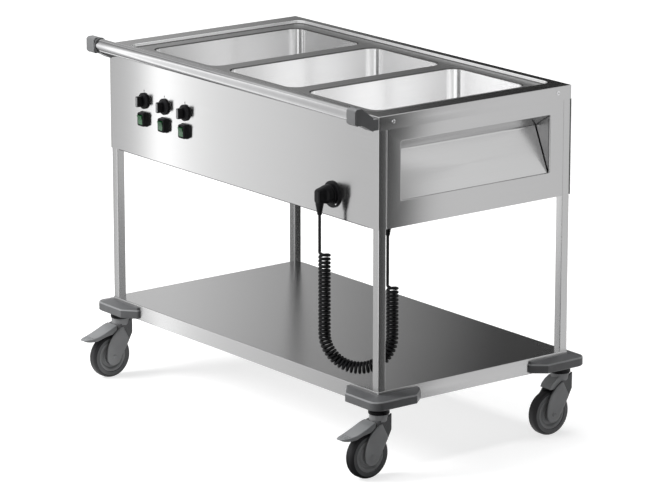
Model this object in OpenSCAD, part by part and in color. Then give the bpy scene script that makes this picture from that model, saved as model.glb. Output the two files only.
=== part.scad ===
// Three-well serving trolley: heated wells in a sheet steel body on four legs, with a lower shelf,
// a push handle, controls, a parked plug on a curly mains lead, and four swivel castors.
// Millimetres, +Z up, -Y is the operator's side. The origin is on the floor under the middle.

/* [Body] */
// Length of the body and of the shelf
body_l = 1224; // [1180:2:1300]
// Depth of the body and of the shelf
body_d = 660; // [640:2:720]
// Height of the top of the rim above the floor
rim_top_z = 972; // [950:1:1000]
// Height of the body from its lower edge to the rim
body_h = 302; // [290:1:320]
// Sheet thickness of panels, wells and shelf
sheet_t = 1.5; // [1.2:0.1:2]
// Depth of the step from the rim down to the deck
deck_step = 10; // [6:1:14]
// Width of the rim at the two ends
rim_end_w = 56; // [50:1:60]
// Width of the rim along the front and the rear
rim_side_w = 27; // [22:1:30]
// Height of the skirt below the rim on the sides and the rear
skirt_h = 38; // [30:1:46]

/* [Wells] */
// Width of one well opening
well_w = 306; // [290:2:310]
// Length of one well opening
well_len = 520; // [500:2:530]
// Depth of one well below the deck
well_depth = 200; // [150:5:205]
// Distance between the middles of neighbouring wells
well_pitch = 359; // [345:1:365]
// Radius of the upright corners of a well
well_corner_r = 35; // [20:1:50]
// Width of the flange that holds a well under the deck
well_flange_w = 8; // [5:1:10]
// Thickness of a heating pad
pad_t = 6; // [4:1:10]
// Radius of a drain pipe
drain_r = 10; // [8:1:14]

/* [Legs and shelf] */
// Side of the square leg tube
leg_w = 25; // [22:1:30]
// Wall of the leg tube
leg_wall = 2; // [1.5:0.5:3]
// Height of the top of the shelf above the floor
shelf_top_z = 232; // [228:1:260]
// Height of the folded shelf edge
shelf_h = 44; // [42:1:46]
// How far the legs stand inside the body's outline
skin_inset = 2; // [1.8:0.1:2.5]
// Radius of a castor pivot pin
pivot_r = 7; // [6:0.5:8]

/* [Bumpers] */
// How far a corner bumper stands out from the shelf
bumper_reach = 38; // [30:1:42]
// Reach of a bumper arm along the front or the rear of the shelf
bumper_arm = 130; // [110:1:140]
// Reach of a bumper arm along the end of the shelf
bumper_end_arm = 140; // [110:1:150]
// Height of the upright outer face of a bumper
bumper_face_h = 25; // [20:1:28]
// Rise of the sloped top of a bumper towards the shelf
bumper_rise = 7; // [4:1:11]
// Radius of the outer corner of a bumper
bumper_r = 30; // [20:1:33]

/* [Side grips] */
// Length of the grip pocket in a side panel
grip_l = 510; // [440:5:520]
// Height of the lower edge of the pocket above the body's lower edge
grip_low = 70; // [60:1:90]
// Height of the pocket opening
grip_h = 158; // [130:1:165]
// Depth of the pocket at its deepest fold
grip_depth = 62; // [40:1:66]
// Height of the upper, outward sloping part of the pocket
grip_roof_h = 37; // [30:1:50]

/* [Handle] */
// Outer diameter of the handle tube
handle_d = 36; // [30:1:38]
// Wall of the handle tube
handle_wall = 1.5; // [1:0.5:3]
// Distance from the front panel to the middle of the tube
handle_off = 56; // [52:1:60]
// Height of the middle of the tube above the rim
handle_up = 7; // [4:1:10]
// Length of a handle bracket along the tube
bracket_w = 36; // [30:1:44]
// Thickness of the bracket around the tube
bracket_wall = 4; // [3:0.5:5]
// Depth of the narrow foot that holds the bracket to the panel
bracket_foot = 18; // [12:1:20]

/* [Controls] */
// Distance of the middle knob from the middle of the body
controls_x = 346; // [330:1:370]
// Distance between neighbouring controls
control_pitch = 98; // [80:0.5:110]
// Height of the knobs above the body's lower edge
knob_up = 164; // [155:1:200]
// Height of the switches above the body's lower edge
switch_up = 112; // [90:1:118]
// Diameter of a knob's skirt
knob_d = 46; // [38:1:48]
// Height of a knob above the panel
knob_h = 27; // [22:1:30]
// Radius of a thermostat shaft
shaft_r = 3; // [2.5:0.5:4]
// Width of a switch housing
switch_w = 34; // [30:1:36]
// Height of a switch housing
switch_h = 42; // [36:1:44]
// How far a switch housing stands out from the panel
switch_out = 15; // [12:1:16]

/* [Mains lead] */
// Distance of the parked plug from the middle of the body
plug_x = 417; // [400:1:430]
// Height of the plug above the body's lower edge
plug_up = 61; // [56:1:75]
// Distance from the front panel to the cord under the plug
plug_out = 43; // [41:1:46]
// Diameter of the plug holder's flange
holder_d = 72; // [60:1:76]
// Diameter of the plug body
plug_d = 44; // [40:1:48]
// Diameter of the cord
cord_d = 8; // [7.5:0.1:8.2]
// Outer diameter of the curly cord
curl_d = 34; // [33:0.5:36]
// Number of whole curls, with another half curl at the end
curls = 61; // [50:1:64]
// Radius of the bend at the bottom of the curly cord
bend_r = 91; // [88:1:94]

/* [Castors] */
// Diameter of a wheel
wheel_d = 125; // [120:1:126]
// Width of a tyre
tyre_w = 32; // [28:1:34]
// Diameter of the wheel's hub
hub_d = 88; // [76:1:92]
// Distance from the swivel axis to the wheel's axle
trail = 40; // [36:1:44]
// Diameter of the castor head
head_d = 58; // [54:1:62]
// Radius of the axle
axle_r = 5; // [4:0.5:6]
// Thickness of a fork leg
fork_t = 6.5; // [5:0.5:8]
// Radius of the broad foot of a fork leg round the axle
fork_foot_r = 24; // [18:1:28]
// Reach of a brake pedal from the swivel axis
pedal_reach = 136; // [125:1:145]
// Width of a brake pedal
pedal_w = 52; // [44:1:56]
// Radius of the brake pedal's pin
pedal_pin_r = 3; // [2.5:0.5:3.5]

/* [Hidden] */
$fn = 48;
// Radial clearance of everything that turns on a pin or shaft
running_fit = 0.05;
// Clearance between pieces that move past each other
gap = 0.3;
// The operator's side reaches further out than the rear, and the origin is midway
front_reach = pedal_reach - skin_inset - leg_w / 2;
body_cy = (front_reach - bumper_reach) / 2;
front_y = body_cy - body_d / 2;
rear_y = body_cy + body_d / 2;
end_x = body_l / 2;
body_z = rim_top_z - body_h;
deck_z = rim_top_z - deck_step;
skirt_z = rim_top_z - skirt_h;
rim_t = 2;
shelf_z = shelf_top_z - shelf_h;
leg_x = end_x - skin_inset - leg_w / 2;
leg_front_y = front_y + skin_inset + leg_w / 2;
leg_rear_y = rear_y - skin_inset - leg_w / 2;
wheel_r = wheel_d / 2;
race_h = 10;
race_z = shelf_z - race_h;
head_z = race_z - gap;
crown_z = wheel_d + 7;
crown_top_z = crown_z + 20;
fork_in = tyre_w / 2 + 3.5;
fork_out = fork_in + fork_t;
pedal_pivot = [0, -37, crown_top_z + 5];
handle_y = front_y - handle_off;
handle_z = rim_top_z + handle_up;
bracket_r = handle_d / 2 + bracket_wall;
knob_z = body_z + knob_up;
switch_z = body_z + switch_up;
plug_z = body_z + plug_up;
control_xs = [for (i = [-1, 0, 1]) i * control_pitch - controls_x];
// The vertical plane of the curly cord's U bend runs along this direction
bend_dir = [cos(41.3), sin(41.3), 0];
curl_r = (curl_d - cord_d) / 2;
coil_top_z = 593;
bend_z = 360;
coil_end_z = 512;
cord_plug_xy = [plug_x, front_y - plug_out];
coil_start = [plug_x, front_y - plug_out, coil_top_z] + curl_r * bend_dir;
gland_shift = 2 * bend_r * bend_dir;
gland_xy = cord_plug_xy + [gland_shift[0], gland_shift[1]];
gland_nut_h = 12;
gland_h = 36;
relief_z = plug_z - 50;
drain_y = well_len / 2 - 60;

// ---- shapes that repeat ----

// A rectangle with true arcs at its corners, centred
module rounded_rect(l, w, r) {
    square([l - 2 * r, w], center = true);
    square([l, w - 2 * r], center = true);
    for (x = [-1, 1], y = [-1, 1]) translate([x * (l / 2 - r), y * (w / 2 - r)]) circle(r);
}

// A plate between two corners
module block(low, high) {
    translate(low) cube(high - low);
}

// Lays a profile drawn as (y, z) out along X
module along_x(x0, x1) {
    translate([x0, 0, 0]) rotate([90, 0, 90]) linear_extrude(x1 - x0) children();
}

// Lays a profile drawn as (x, z) out along Y
module along_y(y0, y1) {
    translate([0, y1, 0]) rotate([90, 0, 0]) linear_extrude(y1 - y0) children();
}

// A cylinder along X
module rod_x(r, x0, x1) {
    translate([x0, 0, 0]) rotate([0, 90, 0]) cylinder(r = r, h = x1 - x0);
}

// A cylinder along Y
module rod_y(r, y0, y1) {
    translate([0, y1, 0]) rotate([90, 0, 0]) cylinder(r = r, h = y1 - y0);
}

// ---- body ----

module top_frame() color("silver") difference() {
    union() {
        block([-end_x, front_y, rim_top_z - rim_t], [end_x, rear_y, rim_top_z]);
        for (s = [-1, 1]) {
            block([s > 0 ? end_x - sheet_t : -end_x, front_y + sheet_t, skirt_z],
                [s > 0 ? end_x : sheet_t - end_x, rear_y, rim_top_z]);
        }
        block([-end_x, rear_y - sheet_t, skirt_z], [end_x, rear_y, rim_top_z]);
        translate([0, body_cy, deck_z - rim_t]) linear_extrude(rim_top_z - deck_z + rim_t)
            rounded_rect(body_l - 2 * rim_end_w + 2 * sheet_t, body_d - 2 * rim_side_w + 2 * sheet_t, 24);
    }
    translate([0, body_cy, skirt_z]) linear_extrude(rim_top_z)
        rounded_rect(body_l - 2 * rim_end_w, body_d - 2 * rim_side_w, 24 - sheet_t);
    screw_places() rod_x(screw_r + 0.1, -4, 4);
}

// The deck lies at the foot of the frame's step and holds the wells
module deck() color("silver") difference() {
    translate([0, body_cy, deck_z - rim_t]) linear_extrude(rim_t)
        rounded_rect(body_l - 2 * rim_end_w, body_d - 2 * rim_side_w, 24 - sheet_t);
    for (i = [-1, 0, 1]) translate([i * well_pitch, body_cy, 0]) linear_extrude(2 * rim_top_z)
        rounded_rect(well_w, well_len, well_corner_r);
}

module well(x) color("gainsboro") translate([x, body_cy, 0]) difference() {
    union() {
        translate([0, 0, deck_z - rim_t - well_depth]) linear_extrude(well_depth)
            rounded_rect(well_w + 2 * sheet_t, well_len + 2 * sheet_t, well_corner_r + sheet_t);
        translate([0, 0, deck_z - rim_t - sheet_t]) linear_extrude(sheet_t)
            rounded_rect(well_w + 2 * well_flange_w, well_len + 2 * well_flange_w,
                well_corner_r + well_flange_w);
    }
    translate([0, 0, deck_z - rim_t - well_depth + sheet_t]) linear_extrude(well_depth)
        rounded_rect(well_w, well_len, well_corner_r);
    translate([0, drain_y, 0]) cylinder(r = drain_r - 2, h = rim_top_z);
}

module well_left() well(-well_pitch);
module well_middle() well(0);
module well_right() well(well_pitch);

module front_panel() color("lightgray") difference() {
    union() {
        block([-end_x, front_y, body_z], [end_x, front_y + sheet_t, rim_top_z - rim_t]);
        block([-end_x + 40, front_y, body_z], [end_x - 40, front_y + 16, body_z + sheet_t]);
    }
    for (x = control_xs) {
        translate([x, front_y, knob_z]) rod_y(shaft_r + 1, -1, sheet_t + 1);
        block([x - switch_w / 2 + 4, front_y - 1, switch_z - switch_h / 2 + 4],
            [x + switch_w / 2 - 4, front_y + sheet_t + 1, switch_z + switch_h / 2 - 4]);
    }
    translate([plug_x, front_y, plug_z]) rod_y(holder_d / 2 - 8, -1, sheet_t + 1);
}

module rear_panel() color("lightgray") {
    block([-end_x, rear_y - sheet_t, body_z], [end_x, rear_y, skirt_z]);
    block([-end_x + 40, rear_y - 16, body_z], [end_x - 40, rear_y, body_z + sheet_t]);
}

// The side panels close the space between the legs, with their edges returned beside them.
// The pocket's folded profile as (distance inwards, height), from its lower edge round to its lip
grip_fold = [[0, body_z + grip_low], [grip_depth, body_z + grip_low + grip_h - grip_roof_h],
    [0, body_z + grip_low + grip_h]];

side_return = 14;

module side_panel(s) color("silver") mirror([s < 0 ? 1 : 0, 0, 0]) translate([end_x, 0, 0]) {
    difference() {
        union() {
            block([-sheet_t, leg_front_y + leg_w / 2, body_z], [0, leg_rear_y - leg_w / 2, skirt_z]);
            block([-side_return, leg_front_y + leg_w / 2, body_z],
                [0, leg_front_y + leg_w / 2 + sheet_t, skirt_z]);
            block([-side_return, leg_rear_y - leg_w / 2 - sheet_t, body_z],
                [0, leg_rear_y - leg_w / 2, skirt_z]);
            along_y(body_cy - grip_l / 2 - sheet_t, body_cy + grip_l / 2 + sheet_t) polygon([
                [0, grip_fold[0][1] - 2 * sheet_t],
                [-grip_depth - 1.6 * sheet_t, grip_fold[1][1]],
                [0, grip_fold[2][1] + 2 * sheet_t]]);
        }
        along_y(body_cy - grip_l / 2, body_cy + grip_l / 2) polygon([
            [1, grip_fold[0][1] - 2 * grip_h / grip_depth / 2],
            [0, grip_fold[0][1]],
            [-grip_depth, grip_fold[1][1]],
            [0, grip_fold[2][1]],
            [1, grip_fold[2][1]]]);
    }
}

module side_panel_left() side_panel(-1);
module side_panel_right() side_panel(1);

module undertray() color("darkgray") difference() {
    block([-end_x + sheet_t, front_y + 16, body_z],
        [end_x - sheet_t, rear_y - 16, body_z + sheet_t]);
    for (x = [-1, 1], y = [leg_front_y, leg_rear_y]) {
        translate([x * leg_x, y, body_z]) cube([leg_w + 1, leg_w + 1, 10], center = true);
        translate([x * end_x, y, body_z]) cube([2 * side_return, leg_w + 2 * sheet_t, 10], center = true);
    }
    for (i = [-1, 0, 1]) {
        translate([i * well_pitch, body_cy + drain_y, body_z - 1]) cylinder(r = drain_r + 0.5, h = 5);
    }
    translate([gland_xy[0], gland_xy[1], body_z - 1]) cylinder(r = 8, h = 5);
}

// ---- legs, shelf and bumpers ----

module leg(x, y) color("silver") translate([x, y, shelf_top_z]) difference() {
    linear_extrude(rim_top_z - rim_t - shelf_top_z) square(leg_w, center = true);
    translate([0, 0, -1]) linear_extrude(rim_top_z) square(leg_w - 2 * leg_wall, center = true);
}

module leg_front_left() leg(-leg_x, leg_front_y);
module leg_front_right() leg(leg_x, leg_front_y);
module leg_rear_left() leg(-leg_x, leg_rear_y);
module leg_rear_right() leg(leg_x, leg_rear_y);

module shelf() color("lightgray") difference() {
    block([-end_x, front_y, shelf_z], [end_x, rear_y, shelf_top_z]);
    block([-end_x + sheet_t, front_y + sheet_t, shelf_z - 1],
        [end_x - sheet_t, rear_y - sheet_t, shelf_top_z - sheet_t]);
}

// One arm of a bumper, along -X from the outer corner of the shelf at [0, 0]
module bumper_arm_x(reach_along) hull() {
    translate([0, 0, 0]) linear_extrude(bumper_face_h) {
        translate([bumper_reach - bumper_r, bumper_reach - bumper_r]) circle(bumper_r, $fn = 32);
        polygon([[0, 0], [-reach_along, 0], [bumper_reach - reach_along, bumper_reach], [0, bumper_reach]]);
    }
    linear_extrude(bumper_face_h + bumper_rise) polygon([[0, 0], [-reach_along, 0], [-reach_along, 1], [1, 1]]);
}

module bumper(x, y) color("dimgray")
    translate([x * end_x, y > 0 ? rear_y : front_y, shelf_z + 4.5])
    mirror([x < 0 ? 1 : 0, 0, 0]) mirror([0, y < 0 ? 1 : 0, 0]) difference() {
        union() {
            bumper_arm_x(bumper_arm);
            mirror([1, -1, 0]) bumper_arm_x(bumper_end_arm);
        }
        block([-2 * bumper_end_arm, -2 * bumper_end_arm, -1], [0, 0, 2 * shelf_h]);
    }

module bumper_front_left() bumper(-1, -1);
module bumper_front_right() bumper(1, -1);
module bumper_rear_left() bumper(-1, 1);
module bumper_rear_right() bumper(1, 1);

// ---- handle ----

module handle_tube() color("silver") translate([0, handle_y, handle_z]) difference() {
    rod_x(handle_d / 2, -end_x + bracket_wall, end_x - bracket_wall);
    rod_x(handle_d / 2 - handle_wall, -end_x, end_x);
}

module handle_bracket(s) color("dimgray") mirror([s < 0 ? 1 : 0, 0, 0]) difference() {
    union() {
        along_x(end_x - bracket_w, end_x) polygon([
            [handle_y - bracket_r, handle_z - bracket_r + 5],
            [handle_y - bracket_r + 5, handle_z - bracket_r],
            [handle_y, handle_z - bracket_r],
            [front_y - bracket_foot, rim_top_z - skirt_h + 2],
            [front_y - bracket_foot, rim_top_z],
            [handle_y, handle_z + bracket_r],
            [handle_y - bracket_r + 5, handle_z + bracket_r],
            [handle_y - bracket_r, handle_z + bracket_r - 5]]);
        block([end_x - bracket_w + 4, front_y - bracket_foot, skirt_z + 4],
            [end_x, front_y, rim_top_z - 5]);
    }
    translate([0, handle_y, handle_z]) rod_x(handle_d / 2, 0, end_x - bracket_wall);
}

module handle_bracket_left() handle_bracket(-1);
module handle_bracket_right() handle_bracket(1);

// ---- screws in the side skirts ----

screw_r = 2.5;
screw_in = 48;

module screw_places() for (s = [-1, 1], y = [front_y + screw_in, rear_y - screw_in])
    translate([s * (end_x - sheet_t / 2), y, rim_top_z - 17]) mirror([s < 0 ? 1 : 0, 0, 0]) children();

module panel_screws() color("gray") screw_places() {
    rod_x(screw_r, -5, sheet_t / 2);
    rod_x(5, sheet_t / 2, sheet_t / 2 + 2.5);
    rod_x(4.5, -sheet_t / 2 - 3, -sheet_t / 2);
}

// ---- heating and wiring ----

pad_z = deck_z - rim_t - well_depth - pad_t;

module heating_pads() color("orangered") for (i = [-1, 0, 1])
    translate([i * well_pitch, body_cy, pad_z]) difference() {
        linear_extrude(pad_t) rounded_rect(well_w - 30, well_len - 30, 20);
        translate([0, drain_y, -1]) cylinder(r = drain_r + 1, h = pad_t + 2);
    }

// Width, depth and height of a thermostat and of the terminal box
thermostat_size = [40, 28, 36];
box_size = [140, 120, 58];
box_wall = 3;
box_back = 60;
entry_w = 40;

module thermostats() color("darkslategray") for (x = control_xs)
    translate([x, front_y, knob_z]) {
        translate([-thermostat_size[0] / 2, sheet_t, -thermostat_size[2] / 2]) cube(thermostat_size);
        rod_y(shaft_r, -knob_h + 6, sheet_t);
    }

module terminal_box() color("gray") translate([-controls_x, front_y + box_back, body_z + sheet_t])
    difference() {
        translate([-box_size[0] / 2, 0, 0]) cube(box_size);
        block([-box_size[0] / 2 + box_wall, box_wall, box_wall],
            [box_size[0] / 2 - box_wall, box_size[1] - box_wall, box_size[2] - box_wall]);
        block([-entry_w / 2, -1, box_size[2] / 3], [entry_w / 2, box_wall + 1, box_size[2] * 2 / 3]);
    }

module drain_outlets() color("goldenrod") for (i = [-1, 0, 1])
    translate([i * well_pitch, body_cy + drain_y, 0]) difference() {
        union() {
            translate([0, 0, body_z - 22]) cylinder(r = drain_r, h = pad_z + pad_t - body_z + 22);
            translate([0, 0, body_z - 26]) cylinder(r = drain_r + 4, h = 16);
        }
        translate([0, 0, body_z - 20]) cylinder(r = drain_r - 2, h = body_h);
    }

// ---- controls ----

// Half the width and half the height of the bar across a knob
knob_bar = [6, 15];

module knob(i) color("black") translate([control_xs[i], front_y, knob_z]) difference() {
    union() {
        rod_y(knob_d / 2, -6, -gap);
        rod_y(knob_d / 2 - 5, -9, -6);
        intersection() {
            block([-knob_bar[0], -knob_h, -knob_bar[1]], [knob_bar[0], -9, knob_bar[1]]);
            rod_y(knob_d / 2 - 3, -knob_h, -9);
        }
    }
    rod_y(shaft_r + running_fit, -knob_h + 6 - gap, 1);
}

module knob_left() knob(0);
module knob_middle() knob(1);
module knob_right() knob(2);

rocker_w = 20;
rocker_h = 28;
rocker_tilt = 9;
rocker_pin_r = 1.5;
// How far a rocker's pin lies behind the housing's face
rocker_pin_in = 5;
snap_in = 4.2;

module switch_housings() color("black") for (x = control_xs) translate([x, front_y, switch_z]) {
    difference() {
        union() {
            block([-switch_w / 2, -switch_out, -switch_h / 2], [switch_w / 2, 0, switch_h / 2]);
            block([-switch_w / 2 + snap_in, 0, -switch_h / 2 + snap_in],
                [switch_w / 2 - snap_in, 22, switch_h / 2 - snap_in]);
        }
        block([-rocker_w / 2 - gap, -switch_out - 1, -rocker_h / 2 - 1],
            [rocker_w / 2 + gap, 8, rocker_h / 2 + 1]);
    }
    translate([0, -switch_out + rocker_pin_in, 0])
        rod_x(rocker_pin_r, -rocker_w / 2 - gap, rocker_w / 2 + gap);
}

module rocker(i) color("limegreen")
    translate([control_xs[i], front_y - switch_out + rocker_pin_in, switch_z])
    rotate([rocker_tilt, 0, 0]) difference() {
        along_x(-rocker_w / 2, rocker_w / 2) polygon([
            [-7.5, -rocker_h / 2 + 1.5],
            [-6, 0],
            [-7.5, rocker_h / 2 - 1.5],
            [2, rocker_h / 2 - 2.5],
            [4, 0],
            [2, -rocker_h / 2 + 2.5]]);
        rod_x(rocker_pin_r + running_fit, -rocker_w, rocker_w);
    }

module rocker_left() rocker(0);
module rocker_middle() rocker(1);
module rocker_right() rocker(2);

// ---- plug, its holder and the mains lead ----

holder_out = 5;
// The collar of the plug that rests on the holder
collar_r = plug_d / 2 + 4;
// The elbow of the plug: half its width along X and along Y, and how far it reaches up
elbow_half = [13, 11];
elbow_up = 18;

module plug_holder() color("black") translate([plug_x, front_y, plug_z]) difference() {
    union() {
        rod_y(holder_d / 2, -holder_out, 0);
        rod_y(holder_d / 2 - 8.2, 0, 30);
    }
    rod_y(plug_d / 2 + 0.5, -holder_out - 1, 26);
}

module plug() color("black") {
    translate([plug_x, front_y, plug_z]) {
        rod_y(plug_d / 2, -plug_out + 8, 25);
        rod_y(collar_r, -holder_out - 4, -holder_out);
    }
    translate([plug_x, front_y - plug_out, plug_z]) {
        block([-elbow_half[0], -elbow_half[1], -20], [elbow_half[0], 12, elbow_up]);
        translate([0, 0, -34]) cylinder(r1 = 8.5, r2 = 10.5, h = 15);
        translate([0, 0, relief_z - plug_z]) cylinder(r1 = cord_d / 2 + 1.5, r2 = 8, h = 16);
    }
}

// A tube swept along its centres: each ring is square to the way between its neighbours, and
// its first corner lies on the side given by the hints
function unit(v) = v / norm(v);
function across(v, t) = unit(v - (v * t) * t);
function heading(c, i) = unit(c[min(i + 1, len(c) - 1)] - c[max(i - 1, 0)]);
function ring(c, t, h, r, n) = let (a = across(h, t), b = cross(t, a))
    [for (k = [0:n - 1]) c + r * (cos(360 * k / n) * a + sin(360 * k / n) * b)];
function side_faces(m, n) = [for (i = [0:m - 2], k = [0:n - 1], half = [0, 1]) let (q = (k + 1) % n)
    half == 0 ? [i * n + k, i * n + q, (i + 1) * n + q] : [i * n + k, (i + 1) * n + q, (i + 1) * n + k]];
function cap_faces(m, n) = [for (k = [1:n - 2]) each [[0, k + 1, k], [(m - 1) * n, (m - 1) * n + k, (m - 1) * n + k + 1]]];

module swept_tube(centres, hints, d, n) {
    m = len(centres);
    points = [for (i = [0:m - 1]) each ring(centres[i], heading(centres, i), hints[i], d / 2, n)];
    faces = concat(side_faces(m, n), cap_faces(m, n));
    polyhedron(points = points, faces = [for (f = faces) [f[2], f[1], f[0]]]);
}

module cord_run(route) color("black") swept_tube(route, [for (p = route) bend_dir], cord_d, 8);

// The straight lead under the plug and the one under the gland
plug_lead_zs = [for (k = [0:4]) relief_z - k * (relief_z - coil_top_z) / 4];
gland_lead_zs = [for (k = [0:5]) coil_end_z + k * (body_z - gland_h - coil_end_z) / 5];

module cord_lead_plug() cord_run([for (z = plug_lead_zs) [cord_plug_xy[0], cord_plug_xy[1], z]]);
module cord_lead_body() cord_run([for (z = gland_lead_zs) [gland_xy[0], gland_xy[1], z]]);

// The curly cord's axis: straight down, round a half circle and straight up, by distance along it
down_len = coil_top_z - bend_z;
bend_len = PI * bend_r;
up_len = coil_end_z - bend_z;
axis_len = down_len + bend_len + up_len;
bend_middle = [coil_start[0], coil_start[1], bend_z] + bend_r * bend_dir;
function bend_angle(s) = 180 * (s - down_len) / bend_len;
function axis_at(s) =
    s < down_len ? coil_start - [0, 0, s]
    : s < down_len + bend_len
        ? bend_middle - bend_r * (cos(bend_angle(s)) * bend_dir + [0, 0, sin(bend_angle(s))])
        : bend_middle + bend_r * bend_dir + [0, 0, s - down_len - bend_len];
function outward_at(s) =
    let (a = min(max(bend_angle(s), 0), 180)) -cos(a) * bend_dir - [0, 0, sin(a)];
bend_normal = cross(bend_dir, [0, 0, 1]);
// The curls start gently: the cord is straight for a diameter, then winds up to full speed
ease_len = 14;
function wound(s) =
    s < cord_d ? 0
    : s < cord_d + ease_len ? pow(s - cord_d, 2) / (2 * ease_len)
    : s - cord_d - ease_len / 2;
wound_len = axis_len - 2 * cord_d - ease_len;
function wound_both(s) = s < axis_len / 2 ? wound(s) : wound_len - wound(axis_len - s);
function curl_angle(s) = 360 * (curls + 0.5) * wound_both(s) / wound_len;
function curl_side(s) = cos(curl_angle(s)) * outward_at(s) + sin(curl_angle(s)) * bend_normal;
curl_rings = 8;
ring_count = ceil((curls + 1) * curl_rings * axis_len / wound_len);
ring_s = [for (k = [0:ring_count]) k * axis_len / ring_count];
coil_centres = [for (s = ring_s) axis_at(s) + curl_r * curl_side(s)];
coil_hints = [for (s = ring_s) curl_side(s)];

// The least gap between the cord and itself, over points more than three quarters of a curl apart
ring_angle = [for (s = ring_s) curl_angle(s)];
coil_gap = min([for (i = [0:ring_count - 1], j = [i + 1:min(i + 24, ring_count)])
    if (ring_angle[j] - ring_angle[i] > 270) norm(coil_centres[i] - coil_centres[j])]) - cord_d;
function total(v, i = 0, sum = 0) = i < len(v) ? total(v, i + 1, sum + v[i]) : sum;
coil_length = total([for (i = [1:ring_count]) norm(coil_centres[i] - coil_centres[i - 1])]);
cord_length = relief_z - coil_top_z + body_z - gland_h - coil_end_z + coil_length;
echo(least_gap_between_curls = coil_gap, cord_length = cord_length, rings = ring_count);

module curly_cord() color("black") swept_tube(coil_centres, coil_hints, cord_d, 6);

module cable_gland() color("black") translate([gland_xy[0], gland_xy[1], body_z]) {
    translate([0, 0, -gland_nut_h]) cylinder(r = 11, h = gland_nut_h);
    translate([0, 0, -gland_h]) cylinder(r1 = cord_d / 2 + 2, r2 = 9, h = gland_h - gland_nut_h);
    cylinder(r = 7.8, h = 14);
    translate([0, 0, sheet_t]) cylinder(r = 10.5, h = 6);
}

// ---- castors ----

// Puts a castor drawn about its swivel axis, on the floor, under a leg
module at_castor(x, y) translate([x * leg_x, y > 0 ? leg_rear_y : leg_front_y, 0]) children();

module castor_mounts() color("gray") for (x = [-1, 1], y = [-1, 1]) at_castor(x, y) {
    mirror([x < 0 ? 1 : 0, 0, 0]) mirror([0, y < 0 ? 1 : 0, 0])
        block([-35, -35, shelf_z], [end_x - sheet_t - leg_x, end_x - sheet_t - leg_x, shelf_top_z - sheet_t]);
    translate([0, 0, race_z]) cylinder(r = head_d / 2 - 3, h = race_h);
    translate([0, 0, crown_top_z]) cylinder(r = pivot_r, h = race_z - crown_top_z + 1);
}

// A fork leg is a broad leaf from the crown down to its foot round the axle
module fork_leg(x0) along_x(x0, x0 + fork_t) hull() {
    translate([-trail, wheel_r]) circle(fork_foot_r);
    translate([-trail + 16, wheel_r + 40]) circle(fork_foot_r + 4);
    translate([-2, crown_z + 2]) circle(26);
    translate([2, crown_top_z]) circle(22);
}

module fork(x, y) color("gray") at_castor(x, y) difference() {
    union() {
        translate([0, 0, crown_top_z]) cylinder(r = head_d / 2, h = head_z - crown_top_z);
        intersection() {
            block([-fork_out, -60, 0], [fork_out, head_d / 2, head_z]);
            along_x(-fork_out, fork_out) polygon([
                [head_d / 2 - 3, head_z - 4],
                [head_d / 2 - 3, crown_z],
                [y > 0 ? -48 : -26, crown_z],
                [y > 0 ? -50 : -28, crown_z + 6],
                [-22, crown_top_z + 6]]);
        }
        fork_leg(-fork_out);
        fork_leg(fork_in);
        if (y < 0) block([-9, -43, crown_top_z - 4], [9, -20, crown_top_z + 13]);
    }
    translate([0, 0, crown_z - 1]) cylinder(r = pivot_r + running_fit, h = head_z);
    translate([0, -trail, wheel_r]) rod_x(axle_r, -fork_out - 1, fork_out + 1);
    if (y < 0) translate(pedal_pivot) rod_x(pedal_pin_r + running_fit, -12, 12);
}

module fork_front_left() fork(-1, -1);
module fork_front_right() fork(1, -1);
module fork_rear_left() fork(-1, 1);
module fork_rear_right() fork(1, 1);

module axle(x, y) color("silver") at_castor(x, y) translate([0, -trail, wheel_r])
    rod_x(axle_r, -fork_out, fork_out);

module axle_front_left() axle(-1, -1);
module axle_front_right() axle(1, -1);
module axle_rear_left() axle(-1, 1);
module axle_rear_right() axle(1, 1);

// Turns a profile drawn as (radius, width) about the axle
module turned(x, y) at_castor(x, y) translate([0, -trail, wheel_r]) rotate([0, 90, 0])
    rotate_extrude($fn = 72) children();

module hub(x, y) color("gray") turned(x, y) polygon([
    [axle_r + running_fit, -fork_in + gap],
    [13, -fork_in + gap],
    [14, -tyre_w / 2 + 7],
    [hub_d / 2 - 9, -tyre_w / 2 + 5],
    [hub_d / 2 - 5, -tyre_w / 2 + 2],
    [hub_d / 2, -tyre_w / 2 + 2],
    [hub_d / 2, tyre_w / 2 - 2],
    [hub_d / 2 - 5, tyre_w / 2 - 2],
    [hub_d / 2 - 9, tyre_w / 2 - 5],
    [14, tyre_w / 2 - 7],
    [13, fork_in - gap],
    [axle_r + running_fit, fork_in - gap]]);

module hub_front_left() hub(-1, -1);
module hub_front_right() hub(1, -1);
module hub_rear_left() hub(-1, 1);
module hub_rear_right() hub(1, 1);

tyre_edge_r = 9;

module tyre(x, y) color("dimgray") turned(x, y) difference() {
    union() {
        translate([hub_d / 2, -tyre_w / 2]) square([wheel_r - hub_d / 2 - tyre_edge_r, tyre_w]);
        translate([hub_d / 2, -tyre_w / 2 + tyre_edge_r])
            square([wheel_r - hub_d / 2, tyre_w - 2 * tyre_edge_r]);
        for (s = [-1, 1]) translate([wheel_r - tyre_edge_r, s * (tyre_w / 2 - tyre_edge_r)])
            circle(tyre_edge_r);
    }
    translate([0, -tyre_w]) square([hub_d / 2, 2 * tyre_w]);
}

module tyre_front_left() tyre(-1, -1);
module tyre_front_right() tyre(1, -1);
module tyre_rear_left() tyre(-1, 1);
module tyre_rear_right() tyre(1, 1);

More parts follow.
